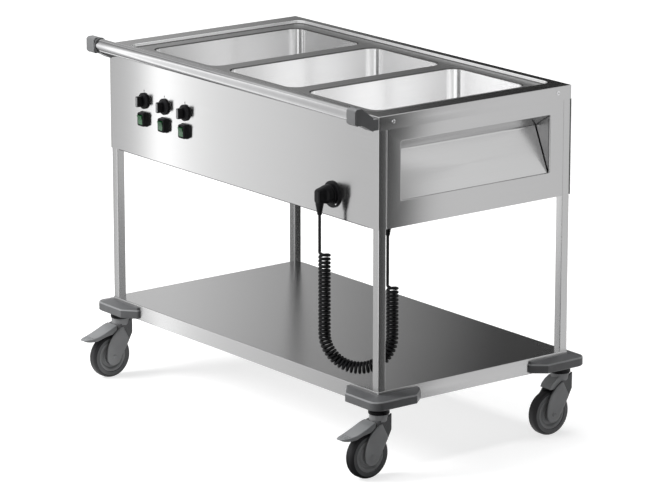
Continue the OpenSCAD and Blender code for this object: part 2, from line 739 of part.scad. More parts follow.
module brake_pedal(x) color("darkgray") at_castor(x, -1) {
    difference() {
        intersection() {
            along_x(-pedal_w / 2, pedal_w / 2) polygon([
                [-31, crown_top_z - 4],
                [-31, crown_top_z + 13],
                [-38, crown_top_z + 18],
                [-62, crown_top_z + 8],
                [-pedal_reach + 6, crown_top_z - 20],
                [-pedal_reach, crown_top_z - 25],
                [-pedal_reach + 3, crown_top_z - 30],
                [-106, crown_top_z - 33],
                [-72, crown_top_z - 27],
                [-46, crown_top_z - 20]]);
            linear_extrude(2 * wheel_d) polygon([
                [-pedal_w / 2, 0],
                [-pedal_w / 2, -90],
                [-pedal_w / 2 + 9, -pedal_reach + 6],
                [-pedal_w / 2 + 16, -pedal_reach],
                [pedal_w / 2 - 16, -pedal_reach],
                [pedal_w / 2 - 9, -pedal_reach + 6],
                [pedal_w / 2, -90],
                [pedal_w / 2, 0]]);
        }
        block([-9 - gap, -46, 0], [9 + gap, 0, rim_top_z]);
    }
    translate(pedal_pivot) rod_x(pedal_pin_r, -12, 12);
}

module brake_pedal_left() brake_pedal(-1);
module brake_pedal_right() brake_pedal(1);

top_frame();
deck();
well_left();
well_middle();
well_right();
front_panel();
rear_panel();
side_panel_left();
side_panel_right();
undertray();
leg_front_left();
leg_front_right();
leg_rear_left();
leg_rear_right();
shelf();
bumper_front_left();
bumper_front_right();
bumper_rear_left();
bumper_rear_right();
handle_tube();
handle_bracket_left();
handle_bracket_right();
panel_screws();
heating_pads();
thermostats();
terminal_box();
drain_outlets();
knob_left();
knob_middle();
knob_right();
switch_housings();
rocker_left();
rocker_middle();
rocker_right();
plug_holder();
plug();
cord_lead_plug();
curly_cord();
cord_lead_body();
cable_gland();
castor_mounts();
fork_front_left();
fork_front_right();
fork_rear_left();
fork_rear_right();
axle_front_left();
axle_front_right();
axle_rear_left();
axle_rear_right();
hub_front_left();
hub_front_right();
hub_rear_left();
hub_rear_right();
tyre_front_left();
tyre_front_right();
tyre_rear_left();
tyre_rear_right();
brake_pedal_left();
brake_pedal_right();
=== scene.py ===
"""Looks of the three-well serving trolley: studio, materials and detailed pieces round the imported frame."""

import math

import bmesh
import bpy
from mathutils import Matrix, Vector


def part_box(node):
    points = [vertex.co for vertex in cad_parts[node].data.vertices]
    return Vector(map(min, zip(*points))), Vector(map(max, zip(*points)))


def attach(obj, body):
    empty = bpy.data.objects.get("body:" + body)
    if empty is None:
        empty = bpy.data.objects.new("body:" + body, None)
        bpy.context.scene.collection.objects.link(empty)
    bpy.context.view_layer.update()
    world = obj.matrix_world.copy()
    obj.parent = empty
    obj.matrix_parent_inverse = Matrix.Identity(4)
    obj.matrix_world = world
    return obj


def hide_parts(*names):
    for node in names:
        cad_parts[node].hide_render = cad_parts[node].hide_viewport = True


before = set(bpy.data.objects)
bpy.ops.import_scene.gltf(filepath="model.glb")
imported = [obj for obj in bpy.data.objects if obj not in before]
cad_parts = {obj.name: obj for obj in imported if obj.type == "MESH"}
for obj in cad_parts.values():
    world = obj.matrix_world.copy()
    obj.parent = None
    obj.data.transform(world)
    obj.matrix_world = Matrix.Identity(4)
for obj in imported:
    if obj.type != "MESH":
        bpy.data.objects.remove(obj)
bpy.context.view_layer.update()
scene = bpy.context.scene
scene.view_settings.view_transform = "Standard"

X, Y, Z = Vector((1, 0, 0)), Vector((0, 1, 0)), Vector((0, 0, 1))
CORNERS = [(x, y) for x in ("left", "right") for y in ("front", "rear")]
# Each bay has a well, a knob and a switch
BAYS = ("left", "middle", "right")

# The frame's own places, in metres
body_low, body_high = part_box("top_frame")
front_low, front_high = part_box("front_panel")
end_x = body_high.x
front_y, rear_y = body_low.y, body_high.y
body_cy = (front_y + rear_y) / 2
rim_z = body_high.z
body_z = front_low.z


def extent(name):
    """A CAD node's low corner, high corner, middle and half size."""
    low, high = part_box(name)
    return low, high, (low + high) / 2, (high - low) / 2


WELL_XS = [extent("well_" + bay)[2].x for bay in BAYS]


# ---- shader nodes ----

def add_node(tree, kind, *values, operation="", give=0, **named):
    """Adds a shader node and gives one of its outputs, if it has any.

    values go to its inputs in order, and named ones by name, with _ for a space. Each is a number or
    another node's output, and None leaves an input as it is.
    """
    made = tree.nodes.new("ShaderNode" + kind)
    if operation:
        made.operation = operation
    by_name = [(name.replace("_", " "), value) for name, value in named.items()]
    for key, value in [*enumerate(values), *by_name]:
        if isinstance(value, bpy.types.NodeSocket):
            tree.links.new(value, made.inputs[key])
        elif value is not None:
            made.inputs[key].default_value = value
    return made.outputs[give] if made.outputs else None


def bare_material(name):
    """A material with an empty node tree."""
    made = bpy.data.materials.new(name)
    made.use_nodes = True
    made.node_tree.nodes.clear()
    return made, made.node_tree


# ---- camera, studio ----

def make_camera():
    """The photograph's own view: a long lens from the front right, a little above."""
    azimuth, elevation = math.radians(52.2592), math.radians(14.5211)
    target = Vector((-0.00357, 0.03714, 0.44408))
    distance = 10.47212
    back = Vector((math.sin(azimuth) * math.cos(elevation),
                   -math.cos(azimuth) * math.cos(elevation),
                   math.sin(elevation)))
    data = bpy.data.cameras.new("camera")
    data.sensor_width = 36
    data.lens = 203.48
    data.clip_start = 0.1
    data.clip_end = 100
    camera = bpy.data.objects.new("camera", data)
    camera.location = target + back * distance
    camera.rotation_mode = "QUATERNION"
    camera.rotation_quaternion = (-back).to_track_quat("-Z", "Y")
    scene.collection.objects.link(camera)
    scene.camera = camera


def background_share(tree):
    """1 for rays that should meet the white background: from the camera, a gloss or through glass."""
    total = add_node(tree, "LightPath", give="Is Camera Ray")
    for ray in ("Is Glossy Ray", "Is Transmission Ray"):
        total = add_node(tree, "Math", total, add_node(tree, "LightPath", give=ray), operation="MAXIMUM")
    return total


def make_world():
    """White behind the trolley and in its reflections, and a weak cool light from all round."""
    world = bpy.data.worlds.new("studio")
    scene.world = world
    world.use_nodes = True
    tree = world.node_tree
    tree.nodes.clear()
    ambient = add_node(tree, "Background", (0.95, 0.97, 1, 1), 0.12)
    white = add_node(tree, "Background", (1, 1, 1, 1), 1)
    add_node(tree, "OutputWorld", add_node(tree, "MixShader", background_share(tree), ambient, white))


def add_quad(name, corners, material):
    """A flat four-cornered object of the studio."""
    mesh = bpy.data.meshes.new(name)
    mesh.from_pydata(corners, [], [(0, 1, 2, 3)])
    mesh.materials.append(material)
    made = bpy.data.objects.new(name, mesh)
    scene.collection.objects.link(made)
    return made


def make_floor():
    """A pale floor: white to the camera and in reflections, with the object's own shadow."""
    half = 15
    made, tree = bare_material("floor")
    # The lamps fade away from the trolley, and the floor's own glow grows by as much
    where = add_node(tree, "TexCoord", give="Object")
    away = add_node(tree, "VectorMath", where, operation="LENGTH", give="Value")
    level = add_node(tree, "MapRange", away, 1, 5, 0.72, 0.97)
    shown = add_node(tree, "Math", level, background_share(tree), operation="MULTIPLY")
    matt = add_node(tree, "BsdfDiffuse", (0.5, 0.5, 0.5, 1))
    glow = add_node(tree, "Emission", None, shown)
    add_node(tree, "OutputMaterial", add_node(tree, "AddShader", matt, glow))
    floor = add_quad("floor", [(-half, -half, 0), (half, -half, 0), (half, half, 0), (-half, half, 0)], made)


def area_lamp(name, place, aim, size, power):
    """A soft lamp that reflections don't see."""
    data = bpy.data.lights.new(name, "AREA")
    data.shape = "RECTANGLE"
    data.size, data.size_y = size
    data.energy = power
    lamp = bpy.data.objects.new(name, data)
    lamp.location = place
    lamp.rotation_mode = "QUATERNION"
    lamp.rotation_quaternion = (Vector(aim) - Vector(place)).to_track_quat("-Z", "Y")
    lamp.visible_glossy = False
    scene.collection.objects.link(lamp)


def graded_card(name, toward, low_edge, high_edge, levels):
    """A studio card that only reflections see, with its own brightness from side to side.

    toward is the horizontal direction from the trolley to the card, and each edge is a pair of its
    distance that way and its height. levels holds (offset, level) pairs: the offset is in metres to
    the left of that direction, and 1 is as bright as the background.
    """
    toward = Vector(toward).normalized()
    left = Z.cross(toward)
    first, last = levels[0][0], levels[-1][0]
    peak = max(level for offset, level in levels)
    made, tree = bare_material(name)
    where = add_node(tree, "TexCoord", give="Object")
    across = add_node(tree, "VectorMath", where, left, operation="DOT_PRODUCT", give="Value")
    ramp = add_node(tree, "ValToRGB", add_node(tree, "MapRange", across, first, last))
    steps = ramp.node.color_ramp.elements
    while len(steps) < len(levels):
        steps.new(0.5)
    for step, (offset, level) in zip(steps, levels):
        step.position = (offset - first) / (last - first)
        step.color = (level / peak, level / peak, level / peak, 1)
    # Only the side towards the trolley glows, so what stands behind a card isn't tinted by it
    glow = add_node(tree, "Emission", ramp, peak)
    behind = add_node(tree, "NewGeometry", give="Backfacing")
    add_node(tree, "OutputMaterial",
             add_node(tree, "MixShader", behind, add_node(tree, "BsdfTransparent"), glow))
    corners = [toward * distance + left * offset + Z * z for offset, (distance, z) in
               ((first, low_edge), (last, low_edge), (last, high_edge), (first, high_edge))]
    shown = add_quad(name, corners, made)
    shown.visible_camera = False
    shown.visible_diffuse = False
    shown.visible_shadow = False
    shown.visible_transmission = False


def make_studio():
    """The lamps, and the cards that give the steel its light and dark bands."""
    make_world()
    make_floor()
    area_lamp("key", (-2.2, -4, 3.6), (0, 0, 0.6), (2.2, 2.2), 300)
    area_lamp("fill", (4.5, -1.5, 3), (0, 0, 0.6), (2, 2), 8)
    area_lamp("top", (0, 0.3, 5), (0, 0, 0.5), (3, 3), 180)
    wall_low, wall_high = 0.01, 2.2
    # Left of the front: the front panel's bright band, fading to the right, and carried on over the floor
    toward, distance, floor_from, floor_z, floor_share = (-0.79, -0.61, 0), 1.5, 0.1, 0.006, 0.82
    levels = [(-0.8, 0.3), (-0.5, 0.4), (-0.3, 0.65), (-0.18, 0.9), (-0.138, 0.97), (-0.092, 1.4),
              (-0.046, 2.5), (0.0, 2.0), (0.045, 1.6), (0.137, 1.35), (0.23, 1.24), (0.366, 1.12),
              (0.55, 0.92), (1.4, 0.85)]
    graded_card("card_left", toward, (distance, wall_low), (distance, wall_high), levels)
    graded_card("card_left_floor", toward, (floor_from, floor_z), (distance, floor_z),
                [(offset, level * floor_share) for offset, level in levels])
    # Right of the side: dark beyond its front edge and again far to the left
    toward, distance, floor_from, floor_z = (0.79, 0.61, 0), 1.0, -0.3, 0.004
    levels = [(-1.6, 0.05), (-0.57, 0.05), (-0.52, 0.25), (-0.485, 0.62), (-0.455, 0.9), (-0.42, 1.0),
              (-0.1, 0.95), (0.3, 0.8), (0.5, 0.2), (0.6, 0.05), (1.2, 0.05)]
    graded_card("card_right", toward, (distance, wall_low), (distance, wall_high), levels)
    graded_card("card_right_floor", toward, (floor_from, floor_z), (distance, floor_z), levels)
    # Behind the left end: the shelf fades from light on the left to dark at the near right
    toward, distance, parting_z, high_z = (-0.79, 0.61, 0), 1.6, 1.0, 2.6
    graded_card("card_low", toward, (distance, wall_low), (distance, parting_z),
                [(-1.3, 0.05), (-0.55, 0.085), (-0.37, 0.22), (-0.18, 0.35), (0.0, 0.46), (0.18, 0.57),
                 (0.34, 0.7), (0.5, 0.84), (1.3, 0.84)])
    # The same above it, for the rim and the deck
    graded_card("card_high", toward, (distance, parting_z), (distance, high_z),
                [(-1.3, 0.02), (-0.5, 0.03), (-0.3, 0.07), (-0.1, 0.16), (0.1, 0.27), (0.3, 0.4),
                 (0.6, 0.5), (1.3, 0.6)])
    make_well_cards()


def make_well_cards():
    """Inside the wells: the long walls lighten to the rear, and bands in front stripe the rear corners."""
    wall_levels = {
        "left": [(-0.24, 0.2), (-0.05, 0.22), (0.0, 0.38), (0.06, 0.48), (0.16, 0.72), (0.26, 0.78)],
        "middle": [(-0.24, 0.8), (-0.05, 0.7), (0.0, 0.55), (0.06, 0.66), (0.16, 1.0), (0.26, 1.05)],
        "right": [(-0.24, 1.5), (-0.05, 1.3), (0.0, 0.7), (0.06, 0.76), (0.16, 1.1), (0.26, 1.15)],
    }
    mouth_levels = [(-0.15, 0.02), (-0.02, 0.02), (0.03, 1.3), (0.15, 1.3)]
    over_floor, under_top, off_wall = 0.01, 0.012, 0.016
    for name, levels in wall_levels.items():
        low, high, middle = extent("well_" + name)[:3]
        bottom, top = low.z + over_floor, high.z - under_top
        right, front = high.x - off_wall, -low.y - off_wall
        graded_card("card_well_" + name, X, (right, bottom), (right, top),
                    [(body_cy + offset, level) for offset, level in levels])
        graded_card("card_mouth_" + name, -Y, (front, bottom), (front, top),
                    [(middle.x + offset, level) for offset, level in mouth_levels])


# ---- materials ----

def noise(tree, scale, stretch=(1, 1, 1), detail=4.0):
    """Noise in the object's own metres, drawn out along an axis where stretch is small."""
    where = add_node(tree, "TexCoord", give="Object")
    placed = add_node(tree, "Mapping", where, Scale=[scale * s for s in stretch])
    return add_node(tree, "TexNoise", placed, Scale=1, Detail=detail, give="Fac")


def ranged(tree, value, low, high):
    """Spreads the middle of a noise over a range."""
    return add_node(tree, "MapRange", value, 0.3, 0.7, low, high)


def blended(tree, value, low, high):
    """A colour between two, by a value from 0 to 1."""
    made = tree.nodes.new("ShaderNodeMix")
    made.data_type = "RGBA"
    made.inputs[6].default_value = (*low, 1)
    made.inputs[7].default_value = (*high, 1)
    tree.links.new(value, made.inputs[0])
    return made.outputs[2]


def principled(name, **sockets):
    """A material with its shader's own inputs set."""
    made = bpy.data.materials.new(name)
    made.use_nodes = True
    shader = made.node_tree.nodes["Principled BSDF"]
    for socket, value in sockets.items():
        shader.inputs[socket.replace("_", " ")].default_value = value
    return made, made.node_tree, shader


def finish_surface(tree, shader, tone, rough, height, strength, distance):
    """Feeds a shader its colour, its roughness and a bump."""
    bump = add_node(tree, "Bump", Strength=strength, Distance=distance, Height=height)
    for value, socket in ((tone, "Base Color"), (rough, "Roughness"), (bump, "Normal")):
        tree.links.new(value, shader.inputs[socket])


def brushed(name, grain, shade=0.5, rough=0.22, stretch=0.8, turned=0.25):
    """Brushed stainless steel. grain holds 1 along each axis that its brushing may follow."""
    made, tree, shader = principled(name, Metallic=1.0, Anisotropic=stretch, Anisotropic_Rotation=turned)
    across, along = 500, 2.5
    streaks = noise(tree, 1, [across if abs(g) < 0.5 else along for g in grain], 3)
    clouds = noise(tree, 2.2, (1, 1, 1), 2)
    low, high = shade * 0.985, shade * 1.012
    direction = tree.nodes.new("ShaderNodeTangent")
    direction.direction_type = "RADIAL"
    direction.axis = "X" if turned == 0 else "Z"
    tree.links.new(direction.outputs[0], shader.inputs["Tangent"])
    tone = blended(tree, ranged(tree, streaks, 0, 1), (low, low, low), (high, high, high * 1.006))
    finish_surface(tree, shader, tone,
                   ranged(tree, clouds, rough * 0.96, rough * 1.05), streaks, 0.04, 0.0001)
    return made


def clouded(made, tree, shader, clouds, low, high, rough, spread, *bump):
    """Faint clouds in a material's colour and roughness, over a fine bump."""
    finish_surface(tree, shader, blended(tree, ranged(tree, clouds, 0, 1), low, high),
                   ranged(tree, clouds, rough * (1 - spread), rough * (1 + spread)), *bump)
    return made


def plain_metal(name, low, high, rough, bump_scale=600, bump=0.1):
    """Metal without a grain, from a darker to a lighter tone."""
    made, tree, shader = principled(name, Metallic=1.0)
    return clouded(made, tree, shader, noise(tree, 14, (1, 1, 1), 3), low, high, rough, 0.15,
                   noise(tree, bump_scale), bump, 0.0002)


def moulded(name, low, high, rough, gloss=0.5, grain_scale=900, bump=0.25, **sockets):
    """Moulded plastic or rubber with a fine grain and faint clouds of wear."""
    made, tree, shader = principled(name, Specular_IOR_Level=gloss, **sockets)
    return clouded(made, tree, shader, noise(tree, 18, (1, 1, 1), 3), low, high, rough, 0.12,
                   noise(tree, grain_scale, (1, 1, 1), 2), bump, 0.0003)


materials = {
    "front": brushed("steel_front", X, rough=0.17),
    "side": brushed("steel_side", Y),
    "flat": brushed("steel_flat", X, stretch=0.6, turned=0),
    # The deck's steel is a rougher copy of the rim's, and its darker colour is painted shade.
    "deck": brushed("steel_deck_painted_shade", X, 0.4, 0.42, stretch=0.3, turned=0),
    # The next two are the rim steel made near white and near black: a painted highlight on the step's rolled
    # top, and painted shade in its cove and round the well openings.
    "edge": brushed("steel_painted_highlight", X, 0.95, 0.3, stretch=0.2, turned=0),
    "lip": brushed("steel_lip", X, 0.13, 0.3, stretch=0.2, turned=0),
    # The pocket's steel is a lighter copy of the side's: painted light for what its fold loses between its
    # sloping back and its roof.
    "pocket": brushed("steel_pocket_painted_light", Y, 0.57),
    # The wells' steel is much lighter than the rest: painted light that keeps their walls bright through many
    # reflections.
    "well": brushed("steel_well_painted_light", X + Y, 0.9, 0.25, 0.9),
    "leg": brushed("steel_leg", Z, 0.5, 0.22, 0.7),
    "tube": plain_metal("steel_tube", (0.48, 0.48, 0.485), (0.52, 0.52, 0.525), 0.14, 900, 0.03),
    "satin": plain_metal("steel_satin", (0.5, 0.5, 0.51), (0.58, 0.58, 0.59), 0.3),
    "zinc": plain_metal("zinc", (0.42, 0.43, 0.44), (0.5, 0.51, 0.52), 0.38),
    "bright": plain_metal("screw_steel", (0.72, 0.72, 0.73), (0.8, 0.8, 0.81), 0.2),
    "brass": plain_metal("brass", (0.62, 0.44, 0.2), (0.72, 0.52, 0.26), 0.3),
    "grey": moulded("grey_plastic", (0.1, 0.102, 0.105), (0.12, 0.122, 0.126), 0.34, 0.45),
    # A lighter copy of the grey plastic for the bumpers' folds: a painted highlight along their rounded edge.
    "painted_highlight_fold": moulded("painted_highlight_fold", (0.24, 0.243, 0.247), (0.29, 0.293, 0.298), 0.34, 0.5),
    "bracket": moulded("bracket_plastic", (0.15, 0.152, 0.155), (0.175, 0.177, 0.181), 0.36, 0.45),
    "pedal": moulded("pedal_plastic", (0.22, 0.225, 0.23), (0.26, 0.265, 0.27), 0.4, 0.35),
    # Darker castor grey: the tyres' side walls have it as their own colour, and on the yokes' plates it is
    # painted shade.
    "sidewall_grey_and_painted_shade": moulded("sidewall_grey_and_painted_shade", (0.11, 0.112, 0.115), (0.135, 0.137, 0.14), 0.42, 0.35),
    "castor": moulded("castor_plastic", (0.28, 0.283, 0.288), (0.33, 0.333, 0.339), 0.38, 0.4),
    "hub": moulded("hub_plastic", (0.26, 0.263, 0.267), (0.31, 0.313, 0.318), 0.38, 0.4),
    "knob_face": moulded("knob_face", (0.16, 0.162, 0.166), (0.2, 0.202, 0.206), 0.35),
    "black": moulded("black_plastic", (0.005, 0.005, 0.006), (0.009, 0.009, 0.01), 0.38, 0.15),
    "cord": moulded("cord_rubber", (0.006, 0.006, 0.007), (0.01, 0.01, 0.011), 0.45, 0.2, 500, 0.3),
    "tyre": moulded("tyre_rubber", (0.014, 0.014, 0.015), (0.022, 0.022, 0.024), 0.5, 0.3),
    "pad": moulded("pad_rubber", (0.35, 0.08, 0.03), (0.45, 0.11, 0.05), 0.5),
    "green": moulded("green_lens", (0.012, 0.09, 0.028), (0.025, 0.15, 0.048), 0.18, 0.5, 300, 0.1,
                     Transmission_Weight=0.25, IOR=1.5),
}


# ---- building pieces ----

def mm(*rows):
    """Rows of millimetres as rows of metres."""
    return [tuple(value / 1000 for value in row) for row in rows]


def piece(name, bm, body, look, replaces=(), smooth_angle=40, weighted=True, sheet=0, more=()):
    """Finishes a bmesh as a piece that rides on a body and stands for its CAD nodes.

    A sheet gets its thickness. more holds the looks of the faces that mark_faces gave 1, 2 and so on.
    """
    bmesh.ops.recalc_face_normals(bm, faces=bm.faces)
    mesh = bpy.data.meshes.new(name)
    bm.to_mesh(mesh)
    bm.free()
    for polygon in mesh.polygons:
        polygon.use_smooth = True
    mesh.set_sharp_from_angle(angle=math.radians(smooth_angle))
    mesh.materials.append(materials[look])
    made = bpy.data.objects.new(name, mesh)
    scene.collection.objects.link(made)
    if sheet:
        shell = made.modifiers.new("sheet", "SOLIDIFY")
        shell.thickness = sheet
        shell.offset = -1
    if weighted:
        normals = made.modifiers.new("normals", "WEIGHTED_NORMAL")
        normals.keep_sharp = True
    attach(made, body)
    if replaces:
        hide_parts(*replaces)
    for extra in more:
        mesh.materials.append(materials[extra])
    return made


def arc(centre, radius, start, end, steps):
    """Points round part of a circle, angles in degrees."""
    turns = [math.radians(start + (end - start) * k / steps) for k in range(steps + 1)]
    return [(centre[0] + radius * math.cos(t), centre[1] + radius * math.sin(t)) for t in turns]


def bend(radius, steps=4, whole=90):
    """Points along a rounded edge, as distances from the face that it leaves and the one it turns to."""
    turns = [math.radians(whole * k / steps) for k in range(steps + 1)]
    return [(radius * (1 - math.cos(t)), radius * (1 - math.sin(t))) for t in turns]


def circle(centre, side, up, radius, count):
    """Points round a circle that lies in two directions."""
    turns = [2 * math.pi * k / count for k in range(count)]
    return [centre + (side * math.cos(t) + up * math.sin(t)) * radius for t in turns]


def round_rect(half_x, half_y, radius, steps=6):
    """Outline of a rectangle with round corners, anticlockwise about 0, 0."""
    points = []
    for turn, (sx, sy) in zip((0, 90, 180, 270), ((1, 1), (-1, 1), (-1, -1), (1, -1))):
        centre = (sx * (half_x - radius), sy * (half_y - radius))
        points += arc(centre, radius, turn, turn + 90, steps)
    return points


def level_rect(x0, y0, z, half_x, half_y, radius, steps=8):
    """A rectangle with round corners that lies level."""
    return [Vector((x0 + u, y0 + v, z)) for u, v in round_rect(half_x, half_y, radius, steps)]


def upright_rect(x0, y, z0, half_x, half_z, radius, steps):
    """A rectangle with round corners that stands square to Y."""
    return [Vector((x0 + u, y, z0 + v)) for u, v in round_rect(half_x, half_z, radius, steps)]


def ring(bm, points):
    """A vertex at each point."""
    return [bm.verts.new(p) for p in points]


def bridge(bm, a, b, closed=True):
    """Faces between two rings with the same number of vertices."""
    count = len(a)
    for k in range(count if closed else count - 1):
        n = (k + 1) % count
        bm.faces.new((a[k], a[n], b[n], b[k]))


def loft(bm, loops, cap_start=False, cap_end=False):
    """A skin over loops of points."""
    rings = [ring(bm, points) for points in loops]
    for a, b in zip(rings, rings[1:]):
        bridge(bm, a, b)
    if cap_start:
        bm.faces.new(rings[0])
    if cap_end:
        bm.faces.new(rings[-1])
    return rings


def mark_faces(bm, rings, index):
    """Gives the faces that join these rings their own material."""
    inside = {v for loop in rings for v in loop}
    for face in bm.faces:
        if all(v in inside for v in face.verts):
            face.material_index = index


def fill_between(bm, rings):
    """A flat face between an outer ring and the rings inside it."""
    edges = []
    for loop in rings:
        for a, b in zip(loop, loop[1:] + loop[:1]):
            edges.append(bm.edges.get((a, b)) or bm.edges.new((a, b)))
    bmesh.ops.triangle_fill(bm, use_beauty=True, use_dissolve=False, edges=edges)


def round_edges(bm, radius, segments=3, angle=30, edges=None):
    """Rounds the edges given, or else every edge that turns by more than the angle."""
    limit = math.radians(angle)
    if edges is None:
        edges = [e for e in bm.edges if e.is_manifold and e.calc_face_angle(0) > limit]
    bmesh.ops.bevel(bm, geom=edges, offset=radius, segments=segments, profile=0.5,
                    affect="EDGES", clamp_overlap=True)


def join(bm, other):
    """Adds another bmesh's faces."""
    made = {v: bm.verts.new(v.co) for v in other.verts}
    for f in other.faces:
        bm.faces.new([made[v] for v in f.verts])
    other.free()


def add_box(bm, low, high):
    """A box between two corners."""
    for v in bmesh.ops.create_cube(bm, size=1)["verts"]:
        v.co = Vector([low[k] + (v.co[k] + 0.5) * (high[k] - low[k]) for k in range(3)])


def add_round_box(bm, low, high, radius):
    """A box with small round edges."""
    shell = bmesh.new()
    add_box(shell, low, high)
    round_edges(shell, radius, 2)
    join(bm, shell)


def along_x(u, v, a):
    """Places a side view's point at a distance along X."""
    return Vector((a, u, v))


def add_prism(bm, outline, place, a0, a1):
    """Lays an outline out between two distances. place(u, v, a) gives a point."""
    loft(bm, [[place(u, v, a) for u, v in outline] for a in (a0, a1)], True, True)


def add_turned(bm, profile, centre, axis, segments=48, closed=False):
    """A body of revolution: profile holds (distance along the axis, radius) pairs."""
    side = (Z if abs(axis.z) < 0.9 else X).cross(axis).normalized()
    up = axis.cross(side)
    loops = [circle(centre + axis * along, side, up, radius, segments) for along, radius in profile]
    rings = loft(bm, loops, not closed, not closed)
    if closed:
        bridge(bm, rings[-1], rings[0])
    return rings


def add_tube(bm, path, radius, sides):
    """A tube along a path, turned as little as possible from ring to ring."""
    last = len(path) - 1
    side = X
    loops = []
    for k, point in enumerate(path):
        heading = (path[min(k + 1, last)] - path[max(k - 1, 0)]).normalized()
        side = (side - heading * side.dot(heading)).normalized()
        loops.append(circle(point, side, heading.cross(side), radius, sides))
    loft(bm, loops, True, True)


def ribbed(start, end, radius, taper, rib):
    """A tapered relief's profile of five ribs. rib pairs shares of a rib's length with steps inwards."""
    ribs = 5
    length = (end - start) / ribs
    return [(start + (k + share) * length, radius - taper * k / ribs - step)
            for k in range(ribs) for share, step in rib]


# ---- the mains lead ----

CORD_D = 0.008
CURL_D = 0.034
CURLS = 61.5
BEND_R = 0.091
BEND_DIR = Vector((math.cos(math.radians(41.3)), math.sin(math.radians(41.3)), 0))
PLUG_XY = Vector((0.417, -0.33125, 0))
GLAND_XY = PLUG_XY + BEND_DIR * 2 * BEND_R
RELIEF_Z = 0.681
COIL_TOP_Z = 0.593
BEND_Z = 0.360
COIL_END_Z = 0.512
GLAND_Z = 0.634
EASE_LEN = 0.014
POINTS_PER_CURL = 18


def coil_points():
    """The curly cord's centre line from its top under the plug, round the bend, to its end below the body."""
    curl_r = (CURL_D - CORD_D) / 2
    start = PLUG_XY + BEND_DIR * curl_r + Z * COIL_TOP_Z
    down = COIL_TOP_Z - BEND_Z
    bend_len = math.pi * BEND_R
    whole = down + bend_len + COIL_END_Z - BEND_Z
    middle = Vector((start.x, start.y, BEND_Z)) + BEND_DIR * BEND_R
    normal = BEND_DIR.cross(Z)
    wound_len = whole - 2 * CORD_D - EASE_LEN

    def wound(s):
        """How much of the first s metres is wound: none at first, then more and more."""
        if s < CORD_D:
            return 0
        if s < CORD_D + EASE_LEN:
            return (s - CORD_D) ** 2 / (2 * EASE_LEN)
        return s - CORD_D - EASE_LEN / 2

    points = []
    count = math.ceil(CURLS * POINTS_PER_CURL * whole / wound_len)
    for k in range(count + 1):
        s = whole * k / count
        turn = math.pi * min(max((s - down) / bend_len, 0), 1)
        outward = -math.cos(turn) * BEND_DIR - math.sin(turn) * Z
        if s < down:
            axis = start - Z * s
        elif s < down + bend_len:
            axis = middle + BEND_R * outward
        else:
            axis = middle + BEND_R * BEND_DIR + Z * (s - down - bend_len)
        done = wound(s) if s < whole / 2 else wound_len - wound(whole - s)
        curl = 2 * math.pi * CURLS * done / wound_len
        points.append(axis + curl_r * (math.cos(curl) * outward + math.sin(curl) * normal))
    return points


def make_mains_lead():
    """The whole lead as one tube, from its gland under the body to the plug."""
    gland_steps, plug_steps = 6, 5
    gland_lead = [GLAND_XY + Z * (GLAND_Z + (COIL_END_Z - GLAND_Z) * k / gland_steps)
                  for k in range(gland_steps)]
    plug_lead = [PLUG_XY + Z * (COIL_TOP_Z + (RELIEF_Z - COIL_TOP_Z) * k / plug_steps)
                 for k in range(1, plug_steps + 1)]
    path = gland_lead + list(reversed(coil_points())) + plug_lead
    bm = bmesh.new()
    add_tube(bm, path, CORD_D / 2, 12)
    lead = piece("mains_lead", bm, "trolley", "cord",
                 ("cord_lead_plug", "curly_cord", "cord_lead_body"), weighted=False)
    length = sum((b - a).length for a, b in zip(path, path[1:]))
    return lead, path, length


# ---- the body ----

STEEL = 0.0015
RIM_END, RIM_SIDE = 0.056, 0.027
STEP_R = 0.024
WELL_X, WELL_Y, WELL_R = 0.153, 0.260, 0.035
DECK_DROP = 0.010
UNDER_RIM = 0.003
FOOT_IN, FOOT_DEPTH = 0.04, 0.016
WELD = 0.00001


def sheet_outline(y0, half_x, half_y, inset, z, steps):
    """A sheet's outline with its small corner radius, drawn in by an inset."""
    return level_rect(0, y0, z, half_x - inset, half_y - inset, max(0.004 - inset, 0.001), steps)


def well_outline(x0, grow, z):
    """A well's outline, grown outwards or drawn in."""
    return level_rect(x0, body_cy, z, WELL_X + grow, WELL_Y + grow, max(WELL_R + grow, 0.012))


